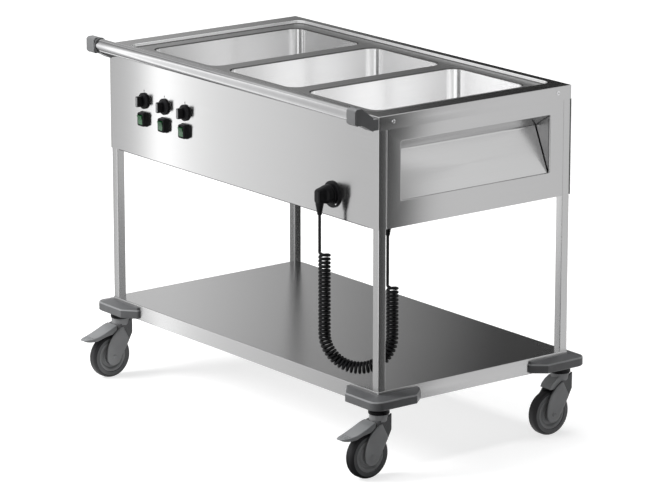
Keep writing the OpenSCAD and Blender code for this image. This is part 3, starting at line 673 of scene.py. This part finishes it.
def make_top_frame():
    """The rim with its rounded outer fold and step, and the deck with rolled well openings."""
    fold, roll, cove, mouth_roll = 0.003, 0.002, 0.004, 0.003
    half_x, half_y = end_x, (rear_y - front_y) / 2
    deck_z = rim_z - DECK_DROP

    def step_outline(offset, z):
        """The step's outline, further in by an offset."""
        across, along = half_x - RIM_END - offset, half_y - RIM_SIDE - offset
        return level_rect(0, body_cy, z, across, along, STEP_R - offset)

    bm = bmesh.new()
    skirt = sheet_outline(body_cy, half_x, half_y, 0, body_low.z, 5)
    for p in skirt:
        if p.y < front_y + 0.001:
            p.z = rim_z - fold
    rings = loft(bm, [skirt] + [sheet_outline(body_cy, half_x, half_y, inset, rim_z - drop, 5)
                                for inset, drop in bend(fold)])
    rolled = [step_outline(-grow, rim_z - drop) for drop, grow in bend(roll)]
    coved = [step_outline(inset, deck_z + rise) for inset, rise in bend(cove)[1:]]
    step_rings = loft(bm, rolled + coved)
    # The step's rolled top takes the near-white steel as a painted highlight, and its cove takes the
    # near-black steel as painted shade.
    mark_faces(bm, step_rings[:len(rolled) + 1], 1)
    mark_faces(bm, step_rings[len(rolled):], 2)
    fill_between(bm, [rings[-1], step_rings[0]])
    bmesh.ops.remove_doubles(bm, verts=bm.verts, dist=WELD)
    piece("rim_sheet", bm, "trolley", "flat", ("top_frame",), more=("edge", "lip"))

    bm = bmesh.new()
    edges = [ring(bm, step_outline(cove, deck_z))]
    for x0 in WELL_XS:
        mouth = [well_outline(x0, grow, deck_z - drop) for drop, grow in bend(mouth_roll)]
        mouth.append(well_outline(x0, 0, deck_z - 0.006))
        rings = loft(bm, mouth)
        # The rolled mouth takes the near-black steel: painted shade round the opening.
        mark_faces(bm, rings, 1)
        edges.append(rings[0])
    fill_between(bm, edges)
    piece("deck_sheet", bm, "trolley", "deck", ("deck",), more=("lip",))


def make_well(name, x0):
    """A pressed tub with round corners, a coved floor and a strainer over its drain."""
    cove = 0.018
    floor_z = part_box(name)[0].z + STEEL
    drain = Vector((x0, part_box("drain_outlets")[1].y - 0.014, floor_z - 0.003))
    walls = [well_outline(x0, 0, rim_z - DECK_DROP - UNDER_RIM)]
    walls += [well_outline(x0, -inset, floor_z + rise) for inset, rise in bend(cove, 6)]
    bm = bmesh.new()
    floor_edge = loft(bm, walls)[-1]
    sump = [circle(Vector((drain.x, drain.y, floor_z - drop)), X, Y, radius, len(floor_edge))
            for drop, radius in mm((1, 50), (3, 22), (4, 20), (6, 10.5))]
    fill_between(bm, [floor_edge, loft(bm, sump)[0]])
    # The tub takes the lightened well steel, as painted light.
    piece(name + "_tub", bm, "trolley", "well", (name,), sheet=STEEL)
    make_strainer(name, drain)


def make_strainer(name, drain):
    """A disc over the drain with rows of small studs."""
    rows, pitch, disc_top = 3, 0.0045, 0.0024
    bm = bmesh.new()
    add_turned(bm, mm((0, 19), (0.8, 19.5), (1.6, 19), (2.4, 14), (2.6, 4), (2.6, 0.5)), drain, Z, 32)
    for row in range(1, rows + 1):
        for spot in circle(drain + Z * disc_top, X, Y, pitch * row, 6 * row):
            add_turned(bm, mm((0, 1.1), (0.9, 1.1), (0.6, 0.4)), spot, Z, 8)
    piece(name + "_strainer", bm, "trolley", "bright")


def make_front_panel():
    """The front sheet with its rounded ends and its folded foot.

    It is whole: the openings that the CAD panel has behind the controls and the plug aren't cut here.
    """
    low, high = front_low, front_high
    bm = bmesh.new()
    add_box(bm, (low.x, front_y, low.z), (high.x, front_y + STEEL, rim_z - UNDER_RIM))
    ends = [e for e in bm.edges if abs((e.verts[0].co - e.verts[1].co).normalized().z) > 0.9
            and e.verts[0].co.y < front_y + 0.0005]
    round_edges(bm, 0.0012, edges=ends)
    add_box(bm, (low.x + FOOT_IN, front_y, low.z), (high.x - FOOT_IN, front_y + FOOT_DEPTH, low.z + STEEL))
    piece("front_sheet", bm, "trolley", "front", ("front_panel",))


def make_rear_panel():
    """The rear sheet with its folded foot."""
    low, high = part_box("rear_panel")
    inner_y = rear_y - STEEL
    bm = bmesh.new()
    add_box(bm, (low.x, inner_y, low.z), (high.x, rear_y, high.z))
    round_edges(bm, 0.0005, 2)
    add_box(bm, (low.x + FOOT_IN, rear_y - FOOT_DEPTH, low.z), (high.x - FOOT_IN, inner_y, low.z + STEEL))
    piece("rear_sheet", bm, "trolley", "front", ("rear_panel",))


def make_side_panel(side, sign):
    """The end sheet with its folded grip pocket."""
    name = "side_panel_" + side
    low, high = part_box(name)
    face_x = high.x if sign > 0 else -low.x
    grip_y, depth = 0.255, 0.062
    grip_low, grip_high = body_z + 0.070, body_z + 0.228
    fold_z = grip_high - 0.037
    mid_z, half_z = (grip_low + grip_high) / 2, (grip_high - grip_low) / 2
    roll, mouth_r = 0.003, 0.004
    fold, flange = 0.0018, 0.014

    def at(inwards, y, z):
        """A point at a distance inwards from the sheet's face."""
        return Vector((sign * (face_x - inwards), y, z))

    def mouth(inwards, grow):
        """The pocket's mouth, grown outwards."""
        points = round_rect(grip_y + grow, half_z + grow, mouth_r + grow, 5)
        return [at(inwards, body_cy + u, mid_z + v) for u, v in points]

    def strip(bm, points, ends):
        """An open strip of sheet between two ends. points(end) gives its row of points at an end."""
        bridge(bm, *[ring(bm, points(end)) for end in ends], False)

    bm = bmesh.new()
    outer = ring(bm, [at(0, low.y + fold, low.z), at(0, high.y - fold, low.z),
                      at(0, high.y - fold, high.z), at(0, low.y + fold, high.z)])
    folded = bend(fold) + [(flange, 0)]
    for edge_y, way in ((low.y, 1), (high.y, -1)):
        strip(bm, lambda z: [at(u, edge_y + way * v, z) for u, v in folded], (low.z, high.z))
    loops = [mouth(inwards, grow) for inwards, grow in bend(roll)] + [mouth(roll + 0.004, 0)]
    fill_between(bm, [outer, loft(bm, loops)[0]])
    bmesh.ops.remove_doubles(bm, verts=bm.verts, dist=WELD)
    piece("side_sheet_" + side, bm, "trolley", "side", (name,), sheet=0.0012)

    # The pocket's own sheet: up its sloping back, round the fold and out under its roof
    slot, inner_r, margin, steps = 0.007, 0.006, 0.0025, 6
    corner = Vector((depth, fold_z))
    before = corner - Vector((depth - slot, fold_z - grip_low)).normalized() * inner_r
    after = corner + Vector((slot - depth, grip_high - fold_z)).normalized() * inner_r
    turn = [(slot, grip_low - 0.006), (slot, grip_low - 0.002)]
    for share in [k / steps for k in range(steps + 1)]:
        turn.append(before.lerp(corner, share).lerp(corner.lerp(after, share), share))
    turn.append((0.004, grip_high + 0.0005))
    reach = grip_y - margin
    bm = bmesh.new()
    strip(bm, lambda y: [at(u, y, v) for u, v in turn], (body_cy - reach, body_cy + reach))
    piece("grip_pocket_" + side, bm, "trolley", "pocket", sheet=0.001)

    bm = bmesh.new()
    end_shape = [(0.003, grip_low - 0.006), (depth + 0.004, fold_z), (0.003, grip_high + 0.004)]
    for way in (-1, 1):
        y = body_cy + way * (grip_y + 0.0005)
        add_prism(bm, end_shape, lambda u, v, a: at(u, a, v), y, y + way * 0.001)
    piece("grip_ends_" + side, bm, "trolley", "side")


def make_leg(name):
    """A square tube with drawn round corners."""
    low, high, middle, half = extent(name)
    bm = bmesh.new()
    loft(bm, [level_rect(middle.x, middle.y, z, half.x, half.x, 0.0028, 4) for z in (low.z, high.z)],
         True, True)
    piece(name + "_tube", bm, "trolley", "leg", (name,))


def make_shelf():
    """A tray turned upside down: a flat sheet with rounded, folded-down edges."""
    low, high, middle, half = extent("shelf")
    fold, hem, hem_r = 0.002, 0.012, 0.0015

    def outline(inset, z):
        """The tray's outline, drawn in."""
        return sheet_outline(middle.y, half.x, half.y, inset, z, 4)

    loops = [outline(hem, low.z + STEEL), outline(hem, low.z)]
    loops += [outline(hem_r, low.z), outline(0, low.z + hem_r)]
    loops += [outline(inset, high.z - drop) for inset, drop in bend(fold)]
    bm = bmesh.new()
    rings = loft(bm, loops, False, True)
    under = loft(bm, [outline(STEEL, high.z - STEEL), outline(STEEL, low.z + STEEL)], True, False)
    bridge(bm, under[-1], rings[0])
    piece("shelf_tray", bm, "trolley", "flat", ("shelf",))


# ---- bumpers and handle ----

def corner_signs(x, y):
    """Which way a corner lies along X and along Y."""
    return (1 if x == "right" else -1), (1 if y == "rear" else -1)


def make_bumper(x, y):
    """A corner buffer: an upright face, a gently sloped top up to the shelf and a round outer corner."""
    name = f"bumper_{y}_{x}"
    low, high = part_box(name)
    sx, sy = corner_signs(x, y)
    corner = Vector((sx * end_x, rear_y if sy > 0 else front_y, low.z))
    reach = (high.x if sx > 0 else -low.x) - end_x
    arm_x = (high.x - low.x) - reach
    arm_y = (high.y - low.y) - reach
    top = high.z - low.z
    face_h, radius, heel, fold = 0.025, 0.030, 0.006, 0.004

    def outline(out, r, inset, z):
        """From the end of the X arm round the outer corner to the end of the Y arm."""
        x_end, y_end = arm_x - inset, arm_y - inset
        points = [(-x_end, 0), (-x_end, heel), (out - x_end, out)]
        points += [(out - across, out - along) for along, across in bend(r, 10)]
        points += [(out, out - y_end), (heel, -y_end), (0, -y_end), (0, 0)]
        return [corner + Vector((sx * u, sy * v, z)) for u, v in points]

    foot = [outline(reach - 0.002, radius - 0.002, 0.0015, 0), outline(reach, radius, 0, 0.002)]
    folded = [outline(reach - inset, radius - inset, inset, face_h - drop)
              for inset, drop in bend(fold, 4, 75)]
    crest = [outline(0.008, 0.003, 0.004, top - 0.001), outline(0.005, 0.002, 0.006, top)]
    bm = bmesh.new()
    rings = loft(bm, foot + folded + crest, True, True)
    # The fold faces take the lighter grey: a painted highlight along the rounded edge.
    mark_faces(bm, rings[len(foot):-len(crest)], 1)
    piece(f"buffer_{y}_{x}", bm, "trolley", "grey", (name,), 35, more=("painted_highlight_fold",))


def make_handle_bracket(side, sign):
    """A moulded end piece: a deep boss round the tube and a narrow foot against the panel."""
    name = "handle_bracket_" + side
    low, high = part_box(name)
    tube = extent("handle_tube")[2]
    foot_y, under_z, chamfer = front_y - 0.018, tube.z - 0.022, 0.006
    outline = [(low.y, high.z - chamfer), (low.y, under_z + chamfer), (low.y + chamfer, under_z),
               (tube.y, under_z), (foot_y, rim_z - 0.036), (foot_y, rim_z), (tube.y, high.z),
               (low.y + chamfer, high.z)]
    inner, outer = (low.x, high.x) if sign > 0 else (high.x, low.x)
    near_x, far_x = sorted((inner + sign * 0.004, outer - sign * 0.001))
    bm = bmesh.new()
    add_prism(bm, outline, along_x, inner, outer)
    round_edges(bm, 0.0035, 4)
    add_box(bm, (near_x, front_y - 0.02, rim_z - 0.034), (far_x, front_y, rim_z - 0.005))
    piece(f"handle_end_{side}", bm, "trolley", "bracket", (name,), 50)
    bm = bmesh.new()
    collar = mm((-0.2, 21.5), (-2.2, 20.5), (-2.6, 19.2), (-2.6, 18.3), (1, 18.3), (1, 21.5))
    add_turned(bm, collar, Vector((inner, tube.y, tube.z)), X * sign, 48, True)
    piece(f"handle_collar_{side}", bm, "trolley", "bracket")


def make_screws():
    """Round-headed screws in the skirts, each with a washer, and a black hexagon on its head that is painted
    shade for a recess.
    """
    inset, drop, shown = 0.048, 0.017, 0.00245
    screws, recess_shades = bmesh.new(), bmesh.new()
    head = mm((-4, 2.2), (0, 2.2), (0, 5.6), (0.7, 5.6), (0.8, 4.7), (1.6, 4.4), (2.3, 3.4), (2.5, 2.4))
    for sign in (-1, 1):
        for y in (front_y + inset, rear_y - inset):
            add_turned(screws, head, Vector((sign * end_x, y, rim_z - drop)), X * sign, 32)
            add_turned(recess_shades, mm((0, 1.7), (0.2, 1.7)), Vector((sign * (end_x + shown), y, rim_z - drop)),
                       X * sign, 6)
    piece("skirt_screws", screws, "trolley", "bright", ("panel_screws",))
    # The black hexagons are painted shade where each head's recess would be.
    piece("screw_recess_painted_shade", recess_shades, "trolley", "black")


# ---- controls ----

def make_knob(side):
    """A skirted knob with a bar grip, which has a light end face."""
    name = "knob_" + side
    low, high, middle, half = extent(name)
    centre = Vector((middle.x, high.y, middle.z))
    radius, height = half.x, high.y - low.y
    half_w, half_h = 0.006, 0.015

    def bar(depth, grow, corner_r, steps):
        """The grip's outline at a distance out from the panel."""
        return upright_rect(centre.x, centre.y - depth, centre.z, half_w + grow, half_h + grow,
                            corner_r, steps)

    skirt = [(out, radius - inset) for out, inset in mm(
        (0, 1), (0.8, 0), (4.2, 0), (5.2, 0.7), (5.7, 2), (6, 4.5), (7.8, 5.8), (8.6, 7.2))]
    grip = [(0.006, 0.0012), (0.0095, 0.0002), (height - 0.003, 0), (height - 0.0012, -0.0004),
            (height - 0.0002, -0.0012)]
    face = [(height - 0.001, -0.0022), (height - 0.0001, -0.0022), (height, -0.0024)]
    bm = bmesh.new()
    add_turned(bm, skirt + [(0.0087, 0.004)], centre, -Y, 64)
    loft(bm, [bar(depth, grow, 0.0035 + grow, 5) for depth, grow in grip], True, True)
    piece(name + "_cap", bm, name, "black", (name,), 35)
    bm = bmesh.new()
    loft(bm, [bar(depth, grow, 0.0015, 4) for depth, grow in face], True, True)
    piece(name + "_face", bm, name, "knob_face")


def make_dial_marks():
    """A short tick over each knob, for its off position."""
    bm = bmesh.new()
    for bay in BAYS:
        high, middle = extent("knob_" + bay)[1:3]
        loft(bm, [upright_rect(middle.x, front_y - out, high.z + 0.0055, 0.0012, 0.003, 0.0005, 3)
                  for out in (-0.0003, 0.0002)], True, True)
    piece("dial_marks", bm, "trolley", "black")


def make_switch_housings():
    """Black splash covers: a base flange, a hooded body with round corners and the rocker's well."""
    middle, half = extent("switch_housings")[2:]
    out = front_y - (middle.y - half.y)
    half_x, tall, gap = 0.017, 0.0149, 0.0003
    hood = mm((0, 0), (3, 0), (4.2, 0.9), (5, 1.1))
    hood += [(out - 0.003, 0.0016), (out - 0.0008, 0.0026), (out, 0.0042)]
    bm = bmesh.new()
    for bay in BAYS:
        rocker, rocker_half = extent("rocker_" + bay)[2:]
        wide = rocker_half.x + gap
        loops = [upright_rect(rocker.x, front_y - depth, middle.z, half_x - inset, half.z - inset,
                              0.0065 - inset / 2, 6) for depth, inset in hood]
        loops += [upright_rect(rocker.x, front_y - depth, middle.z, wide + grow, tall + grow, 0.002, 6)
                  for depth, grow in ((out, 0.0005), (out - 0.0006, 0), (0.002, 0))]
        loft(bm, loops, True, True)
    piece("switch_covers", bm, "trolley", "black", ("switch_housings",), 40)


def make_rocker(side):
    """A lit rocker: a shallow V in profile with rounded ends."""
    name = "rocker_" + side
    middle, half = extent(name)[2:]
    housings = extent("switch_housings")
    centre = Vector((middle.x, housings[0].y + 0.005, housings[2].z))
    tilt = Matrix.Rotation(math.radians(9), 3, "X")
    outline = mm((-7.5, -12.5), (-6.2, -3), (-6, 0), (-6.2, 3), (-7.5, 12.5), (2, 11.5), (4, 0), (2, -11.5))
    bm = bmesh.new()
    add_prism(bm, outline, along_x, -half.x, half.x)
    round_edges(bm, 0.0008, 3, 40)
    for v in bm.verts:
        v.co = tilt @ v.co + centre
    piece(name + "_lens", bm, name, "green", (name,), 40)


# ---- plug and holder ----

def make_plug_holder():
    """A flat round flange on the panel, with the parked plug's barrel behind it and a small screw."""
    middle, half = extent("plug_holder")[2:]
    centre = Vector((middle.x, front_y, middle.z))
    radius, thick = half.x, front_y - (middle.y - half.y)
    bore, barrel = 0.0225, radius - 0.0085
    profile = [(-0.03, bore), (-0.03, barrel), (0, barrel), (0, radius - 0.0003), (0.0006, radius),
               (thick - 0.0016, radius), (thick - 0.0005, radius - 0.0006), (thick, radius - 0.002),
               (thick, bore + 0.0012), (thick - 0.0008, bore)]
    bm = bmesh.new()
    add_turned(bm, profile, centre, -Y, 96, True)
    piece("plug_socket", bm, "trolley", "black", ("plug_holder",), 35)
    turn = math.radians(-48)
    spot = centre - Y * thick + (X * math.cos(turn) + Z * math.sin(turn)) * (radius - 0.006)
    bm = bmesh.new()
    add_turned(bm, mm((-0.5, 2.7), (0.6, 2.7), (1.2, 1.8), (1.3, 0.6)), spot, -Y, 20)
    piece("socket_screw", bm, "trolley", "bright")


def make_plug():
    """An angled rubber plug: a collar and a round body, an elbow and a ribbed relief pointing down."""
    x0, z0 = PLUG_XY.x, extent("plug_holder")[2].z
    reach = front_y - PLUG_XY.y
    collar = mm((-25, 20.5), (-23.8, 21.8), (5.2, 21.8), (5.2, 25.5), (5.8, 26), (8.2, 26), (9.2, 25.2),
                (9.8, 22.8), (10.2, 18))
    # Rows of depth, half width, height below and above the middle, and corner radius. The body is round at
    # the collar and grows taller than wide; the elbow's depths count from the axis of the lead
    body = mm((9.5, 22, 22.5, 26, 21.8), (12, 22.8, 23.2, 28.5, 22.2))
    elbow = mm((-20, 22, 22.5, 27.5, 20), (-15, 18, 21, 26.2, 15), (-10, 14, 20, 24.5, 11),
               (3, 13, 19.5, 21, 8.8), (8.5, 11.5, 18.5, 18.8, 8.5), (10.8, 8.5, 16, 16, 7.8))
    body += [(reach + depth, *rest) for depth, *rest in elbow]
    bm = bmesh.new()
    add_turned(bm, collar, Vector((x0, front_y, z0)), -Y, 64)
    loft(bm, [upright_rect(x0, front_y - depth, z0 + (over - under) / 2, half_w, (under + over) / 2, r, 8)
              for depth, half_w, under, over, r in body], True, True)
    tip = Vector((PLUG_XY.x, PLUG_XY.y, z0 - 0.016))
    end = tip.z - RELIEF_Z
    ribs = ribbed(0.008, end, 0.0104, 0.0046, ((0, 0), (0.62, 0.00026), (0.68, 0.00192), (0.94, 0.00202)))
    add_turned(bm, [(0, 0.0112), (0.006, 0.011), *ribs, (end, 0.0048)], tip, -Z, 32)
    return piece("angled_plug", bm, "trolley", "black", ("plug",), 35)


def make_gland():
    """A hexagon nut under the body and a ribbed, tapered relief round the cord."""
    centre = Vector((GLAND_XY.x, GLAND_XY.y, body_z))
    end = body_z - GLAND_Z
    ribs = ribbed(0.015, end, 0.009, 0.0034, ((0, 0), (0.6, 0.0003), (0.68, 0.0014), (0.95, 0.0015)))
    bm = bmesh.new()
    add_turned(bm, mm((-14, 7.5), (0, 7.8), (0.2, 11.8), (11.5, 11.8), (12, 10.8)), centre, -Z, 6)
    add_turned(bm, [(0.012, 0.0095), (0.014, 0.0092), *ribs, (end, 0.0045)], centre, -Z, 32)
    add_turned(bm, [(STEEL, 0.0105), (0.0075, 0.0105)], centre, Z, 6)
    return piece("cord_gland", bm, "trolley", "black", ("cable_gland",), 35)


# ---- castors ----

FORK_IN, FORK_T = 0.0195, 0.0065


def castor_axis(x, y):
    """Where a corner's swivel axis meets the floor."""
    leg = extent(f"leg_{y}_{x}")[2]
    return Vector((leg.x, leg.y, 0))


def make_fork(x, y):
    """A castor yoke: a round head, a crown over the wheel and two leaf-shaped legs with a soft bulge."""
    name = f"fork_{y}_{x}"
    origin = castor_axis(x, y)
    head_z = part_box(name)[1].z
    seal_z = head_z - 0.0068
    head = mm((140, 18), (146, 22.5), (152, 25.2), (157, 26.2))
    head += [(seal_z - 0.001, 0.0262), (seal_z - 0.0002, 0.0255)]
    crown = mm((23.5, 165), (23.5, 133.5))
    if y == "rear":
        crown_half = FORK_IN + 0.001
        crown += mm((-16, 133.5), (-36, 132.5), (-49, 131), (-52, 133), (-47.5, 143), (-36, 154), (-22, 162),
                    (0, 168))
    else:
        crown_half = FORK_IN + 0.0035
        crown += mm((-18, 132.5), (-23.5, 134.5), (-25, 139), (-25, 153.5), (-10, 157), (4, 162))
    bm = bmesh.new()
    add_turned(bm, head, origin, Z, 48)
    light_faces = set(bm.faces)
    shell = bmesh.new()
    side_view = [(origin.y + u, v) for u, v in crown]
    add_prism(shell, side_view, along_x, origin.x - crown_half, origin.x + crown_half)
    round_edges(shell, 0.0025, 3, 40)
    join(bm, shell)
    if y == "rear":
        light_faces = set(bm.faces)
    plate, leaf = fork_leg_outlines()
    leg_out = FORK_IN + FORK_T
    plate_out = leg_out - 0.0012
    plate_steps = [(0.001, FORK_IN), (0, FORK_IN + 0.001), (0, plate_out - 0.0015),
                   (0.0006, plate_out - 0.0004), (0.0016, plate_out)]
    leaf_steps = [(inset, leg_out + out) for inset, out in mm(
        (0.8, -4.5), (0.8, -2.4), (0.2, -1.8), (0.6, -0.9), (1.5, -0.1), (3.2, 0.4), (6, 0.9), (8.5, 1.1))]
    add_legs(bm, origin, plate, plate_steps)
    shade_faces = set(bm.faces) - light_faces
    add_legs(bm, origin, leaf, leaf_steps)
    # The plates and a front yoke's crown take the darker grey as painted shade; the head, the leaves and a
    # rear yoke's crown keep the castor grey.
    for face in bm.faces:
        face.material_index = 0 if face in shade_faces else 1
    piece(f"yoke_{y}_{x}", bm, f"castor_{y}_{x}", "sidewall_grey_and_painted_shade", (name,), 35,
          more=("castor",))
    bm = bmesh.new()
    add_turned(bm, [(seal_z, 0.025), (seal_z + 0.0004, 0.0284), (seal_z + 0.0012, 0.0288),
                    (head_z - 0.0012, 0.0288), (head_z - 0.0002, 0.028), (head_z, 0.024)], origin, Z, 48)
    piece(f"swivel_ring_{y}_{x}", bm, f"castor_{y}_{x}", "black")


def add_legs(bm, origin, outline, steps):
    """Lays a side view out on both sides of the swivel axis, with its own inset at each distance."""
    for side in (-1, 1):
        loft(bm, [[Vector((origin.x + side * out, origin.y + u, v)) for u, v in shrunk(outline, inset)]
                  for inset, out in steps], True, True)


def fork_leg_outlines():
    """The side views of a leg's plate and of the leaf on it, as (y, z) pairs about the swivel axis."""
    foot = (-0.040, 0.0625)
    edge = mm((-15.6, 147.6), (-21.2, 144.6), (-32.3, 136.2), (-42.5, 126.2), (-51.7, 114.7), (-58, 101),
              (-62.2, 87), (-64, 72))
    edge += arc(foot, 0.024, 185, 330, 18)
    plate = mm((12, 164), (-10, 151.2)) + edge
    plate += mm((13.7, 107), (23.6, 126.2), (24, 130), (24, 170.5), (22.5, 171.2))
    leaf = mm((-7.2, 147.4)) + edge + mm((12, 104.5), (12.6, 109.2))
    return plate, leaf


def shrunk(outline, inset):
    """An outline moved inwards by a distance, corner by corner."""
    moved = []
    count = len(outline)
    for k, (u, v) in enumerate(outline):
        before = Vector((u - outline[k - 1][0], v - outline[k - 1][1])).normalized()
        after = Vector((outline[(k + 1) % count][0] - u, outline[(k + 1) % count][1] - v)).normalized()
        inwards = Vector((-before.y - after.y, before.x + after.x)).normalized()
        share = max(0.6, inwards.dot(Vector((-before.y, before.x))))
        moved.append((u + inwards.x * inset / share, v + inwards.y * inset / share))
    return moved


def make_axle(x, y):
    """The axle with a domed head at one end and a nut at the other."""
    name = f"axle_{y}_{x}"
    low, high, middle = extent(name)[:3]
    head = mm((0.4, 7.2), (1.8, 7.2), (2.6, 6.2), (2.8, 5.2), (2.2, 4.6), (2.2, 1.5))
    bm = bmesh.new()
    add_turned(bm, [(low.x, 0.005), (high.x, 0.005)], Vector((0, middle.y, middle.z)), X, 32)
    add_turned(bm, head, Vector((high.x, middle.y, middle.z)), X, 32)
    add_turned(bm, mm((0, 8.5), (2.8, 8.5), (3, 7.5)), Vector((low.x, middle.y, middle.z)), -X, 6)
    piece(f"axle_bolt_{y}_{x}", bm, f"castor_{y}_{x}", "castor", (name,), 35)


def make_hub(x, y):
    """A moulded wheel centre with a rim, a web with round ribs and a bearing boss."""
    name = f"hub_{y}_{x}"
    middle, half = extent(name)[2:]
    wall = [(half.x, 0.0055), (half.x, 0.0125), (half.x - 0.0005, 0.013)]
    wall += mm((10.5, 14.5), (9.2, 16.5), (9.2, 20.5), (10, 21.5), (10, 23.5), (8.5, 25), (8.5, 32.5),
               (11.5, 35), (13.5, 37.5), (14.2, 39.5))
    wall.append((0.0142, half.z))
    bm = bmesh.new()
    add_turned(bm, [(-a, r) for a, r in wall] + wall[::-1], middle, X, 72, True)
    piece(f"wheel_centre_{y}_{x}", bm, f"wheel_{y}_{x}", "hub", (name,), 30)


def make_tyre(x, y):
    """A rubber tread with round shoulders, on side walls in the castor's grey."""
    name = f"tyre_{y}_{x}"
    middle, half = extent(name)[2:]
    edge = 0.010
    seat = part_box(f"hub_{y}_{x}")[1].z - middle.z
    profile = [(-half.x + 0.0012, seat), (-half.x, seat + 0.0015)]
    profile += [(inset - half.x, half.z - drop) for inset, drop in bend(edge, 6)]
    profile += [(-a, r) for a, r in reversed(profile)]
    bm = bmesh.new()
    rings = add_turned(bm, profile, middle, X, 96, True)
    for walls in (rings[:4], rings[-4:]):
        mark_faces(bm, walls, 1)
    piece(f"tread_{y}_{x}", bm, f"wheel_{y}_{x}", "tyre", (name,), 35, more=("sidewall_grey_and_painted_shade",))


def make_pedal(side):
    """A brake pedal: a tongue that widens from its pin and drops to a round, ribbed tip."""
    name = "brake_pedal_" + side
    origin = castor_axis(side, "front")
    # Rows of distance along Y, half width, underside and top
    sections = mm((-29.5, 24, 140, 154.6), (-36, 25.5, 136.7, 153), (-46, 26, 130, 149.5),
                  (-56, 26, 128.3, 145.2), (-68, 26, 126.2, 140), (-80, 25.8, 122.8, 135.2),
                  (-92, 24.8, 118.2, 131), (-104, 22.8, 116.7, 128), (-116, 19.6, 116.8, 126.2),
                  (-124, 16.4, 117.8, 125.2), (-130, 13, 119.6, 123.8), (-133.5, 9.5, 121.2, 122.8))
    bm = bmesh.new()
    loft(bm, [upright_rect(origin.x, origin.y + dy, (z0 + z1) / 2, half_w, (z1 - z0) / 2,
                           min(0.003, (z1 - z0) * 0.35), 4)
              for dy, half_w, z0, z1 in sections], True, True)
    # Three ribs over the tip, each a little lower and narrower than the last
    for dy, z, half_w in mm((-108, 126.8, 16.5), (-114.5, 125.7, 13.5), (-121, 124.6, 10.5)):
        middle = origin + Vector((0, dy, z))
        corner = Vector((half_w, 0.0012, 0))
        add_round_box(bm, middle - corner, middle + corner + Z * 0.0022, 0.0006)
    piece(f"pedal_{side}", bm, f"pedal_{side}", "pedal", (name,), 45)


def make_castor_mounts():
    """Swivel races: a dark seal ring under a bright race and its pivot, and the mount inside the shelf."""
    top_z, base_z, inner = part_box("castor_mounts")[1].z, 0.188, -0.035
    race = mm((153, 7), (178, 7), (178.2, 24.5), (179.5, 25.8), (186.8, 26), (188, 26))
    seal = mm((177.9, 25.2), (178.2, 28), (179.5, 28.6), (183.5, 28.4), (184.5, 27))
    plates, seals = bmesh.new(), bmesh.new()
    for x, y in CORNERS:
        origin = castor_axis(x, y)
        sx, sy = corner_signs(x, y)
        outer = end_x - STEEL - abs(origin.x) - 0.0002
        xs = sorted((origin.x + sx * inner, origin.x + sx * outer))
        ys = sorted((origin.y + sy * inner, origin.y + sy * outer))
        add_round_box(plates, (xs[0], ys[0], base_z), (xs[1], ys[1], top_z), 0.0015)
        add_turned(plates, race, origin, Z, 48)
        add_turned(seals, seal, origin, Z, 48)
    piece("castor_plates", plates, "trolley", "zinc", ("castor_mounts",), 35)
    piece("race_seals", seals, "trolley", "black", (), 35)


def dress_kept_nodes():
    """The CAD nodes whose own shape is right get their material."""
    looks = {
        "handle_tube": "tube",
        "undertray": "satin",
        "heating_pads": "pad",
        "thermostats": "black",
        "terminal_box": "satin",
        "drain_outlets": "brass",
    }
    for name, look in looks.items():
        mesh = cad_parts[name].data
        mesh.materials.clear()
        mesh.materials.append(materials[look])


make_camera()
make_studio()
lead, lead_path, lead_length = make_mains_lead()
make_top_frame()
for well_name, well_x in zip(BAYS, WELL_XS):
    make_well("well_" + well_name, well_x)
make_front_panel()
make_rear_panel()
for side_name, side_sign in (("left", -1), ("right", 1)):
    make_side_panel(side_name, side_sign)
    make_handle_bracket(side_name, side_sign)
    make_pedal(side_name)
make_shelf()
make_screws()
for name_x, name_y in CORNERS:
    make_leg(f"leg_{name_y}_{name_x}")
    make_bumper(name_x, name_y)
    make_fork(name_x, name_y)
    make_axle(name_x, name_y)
    make_hub(name_x, name_y)
    make_tyre(name_x, name_y)
for control in BAYS:
    make_knob(control)
    make_rocker(control)
make_switch_housings()
make_dial_marks()
make_plug_holder()
plug = make_plug()
gland = make_gland()
make_castor_mounts()
dress_kept_nodes()
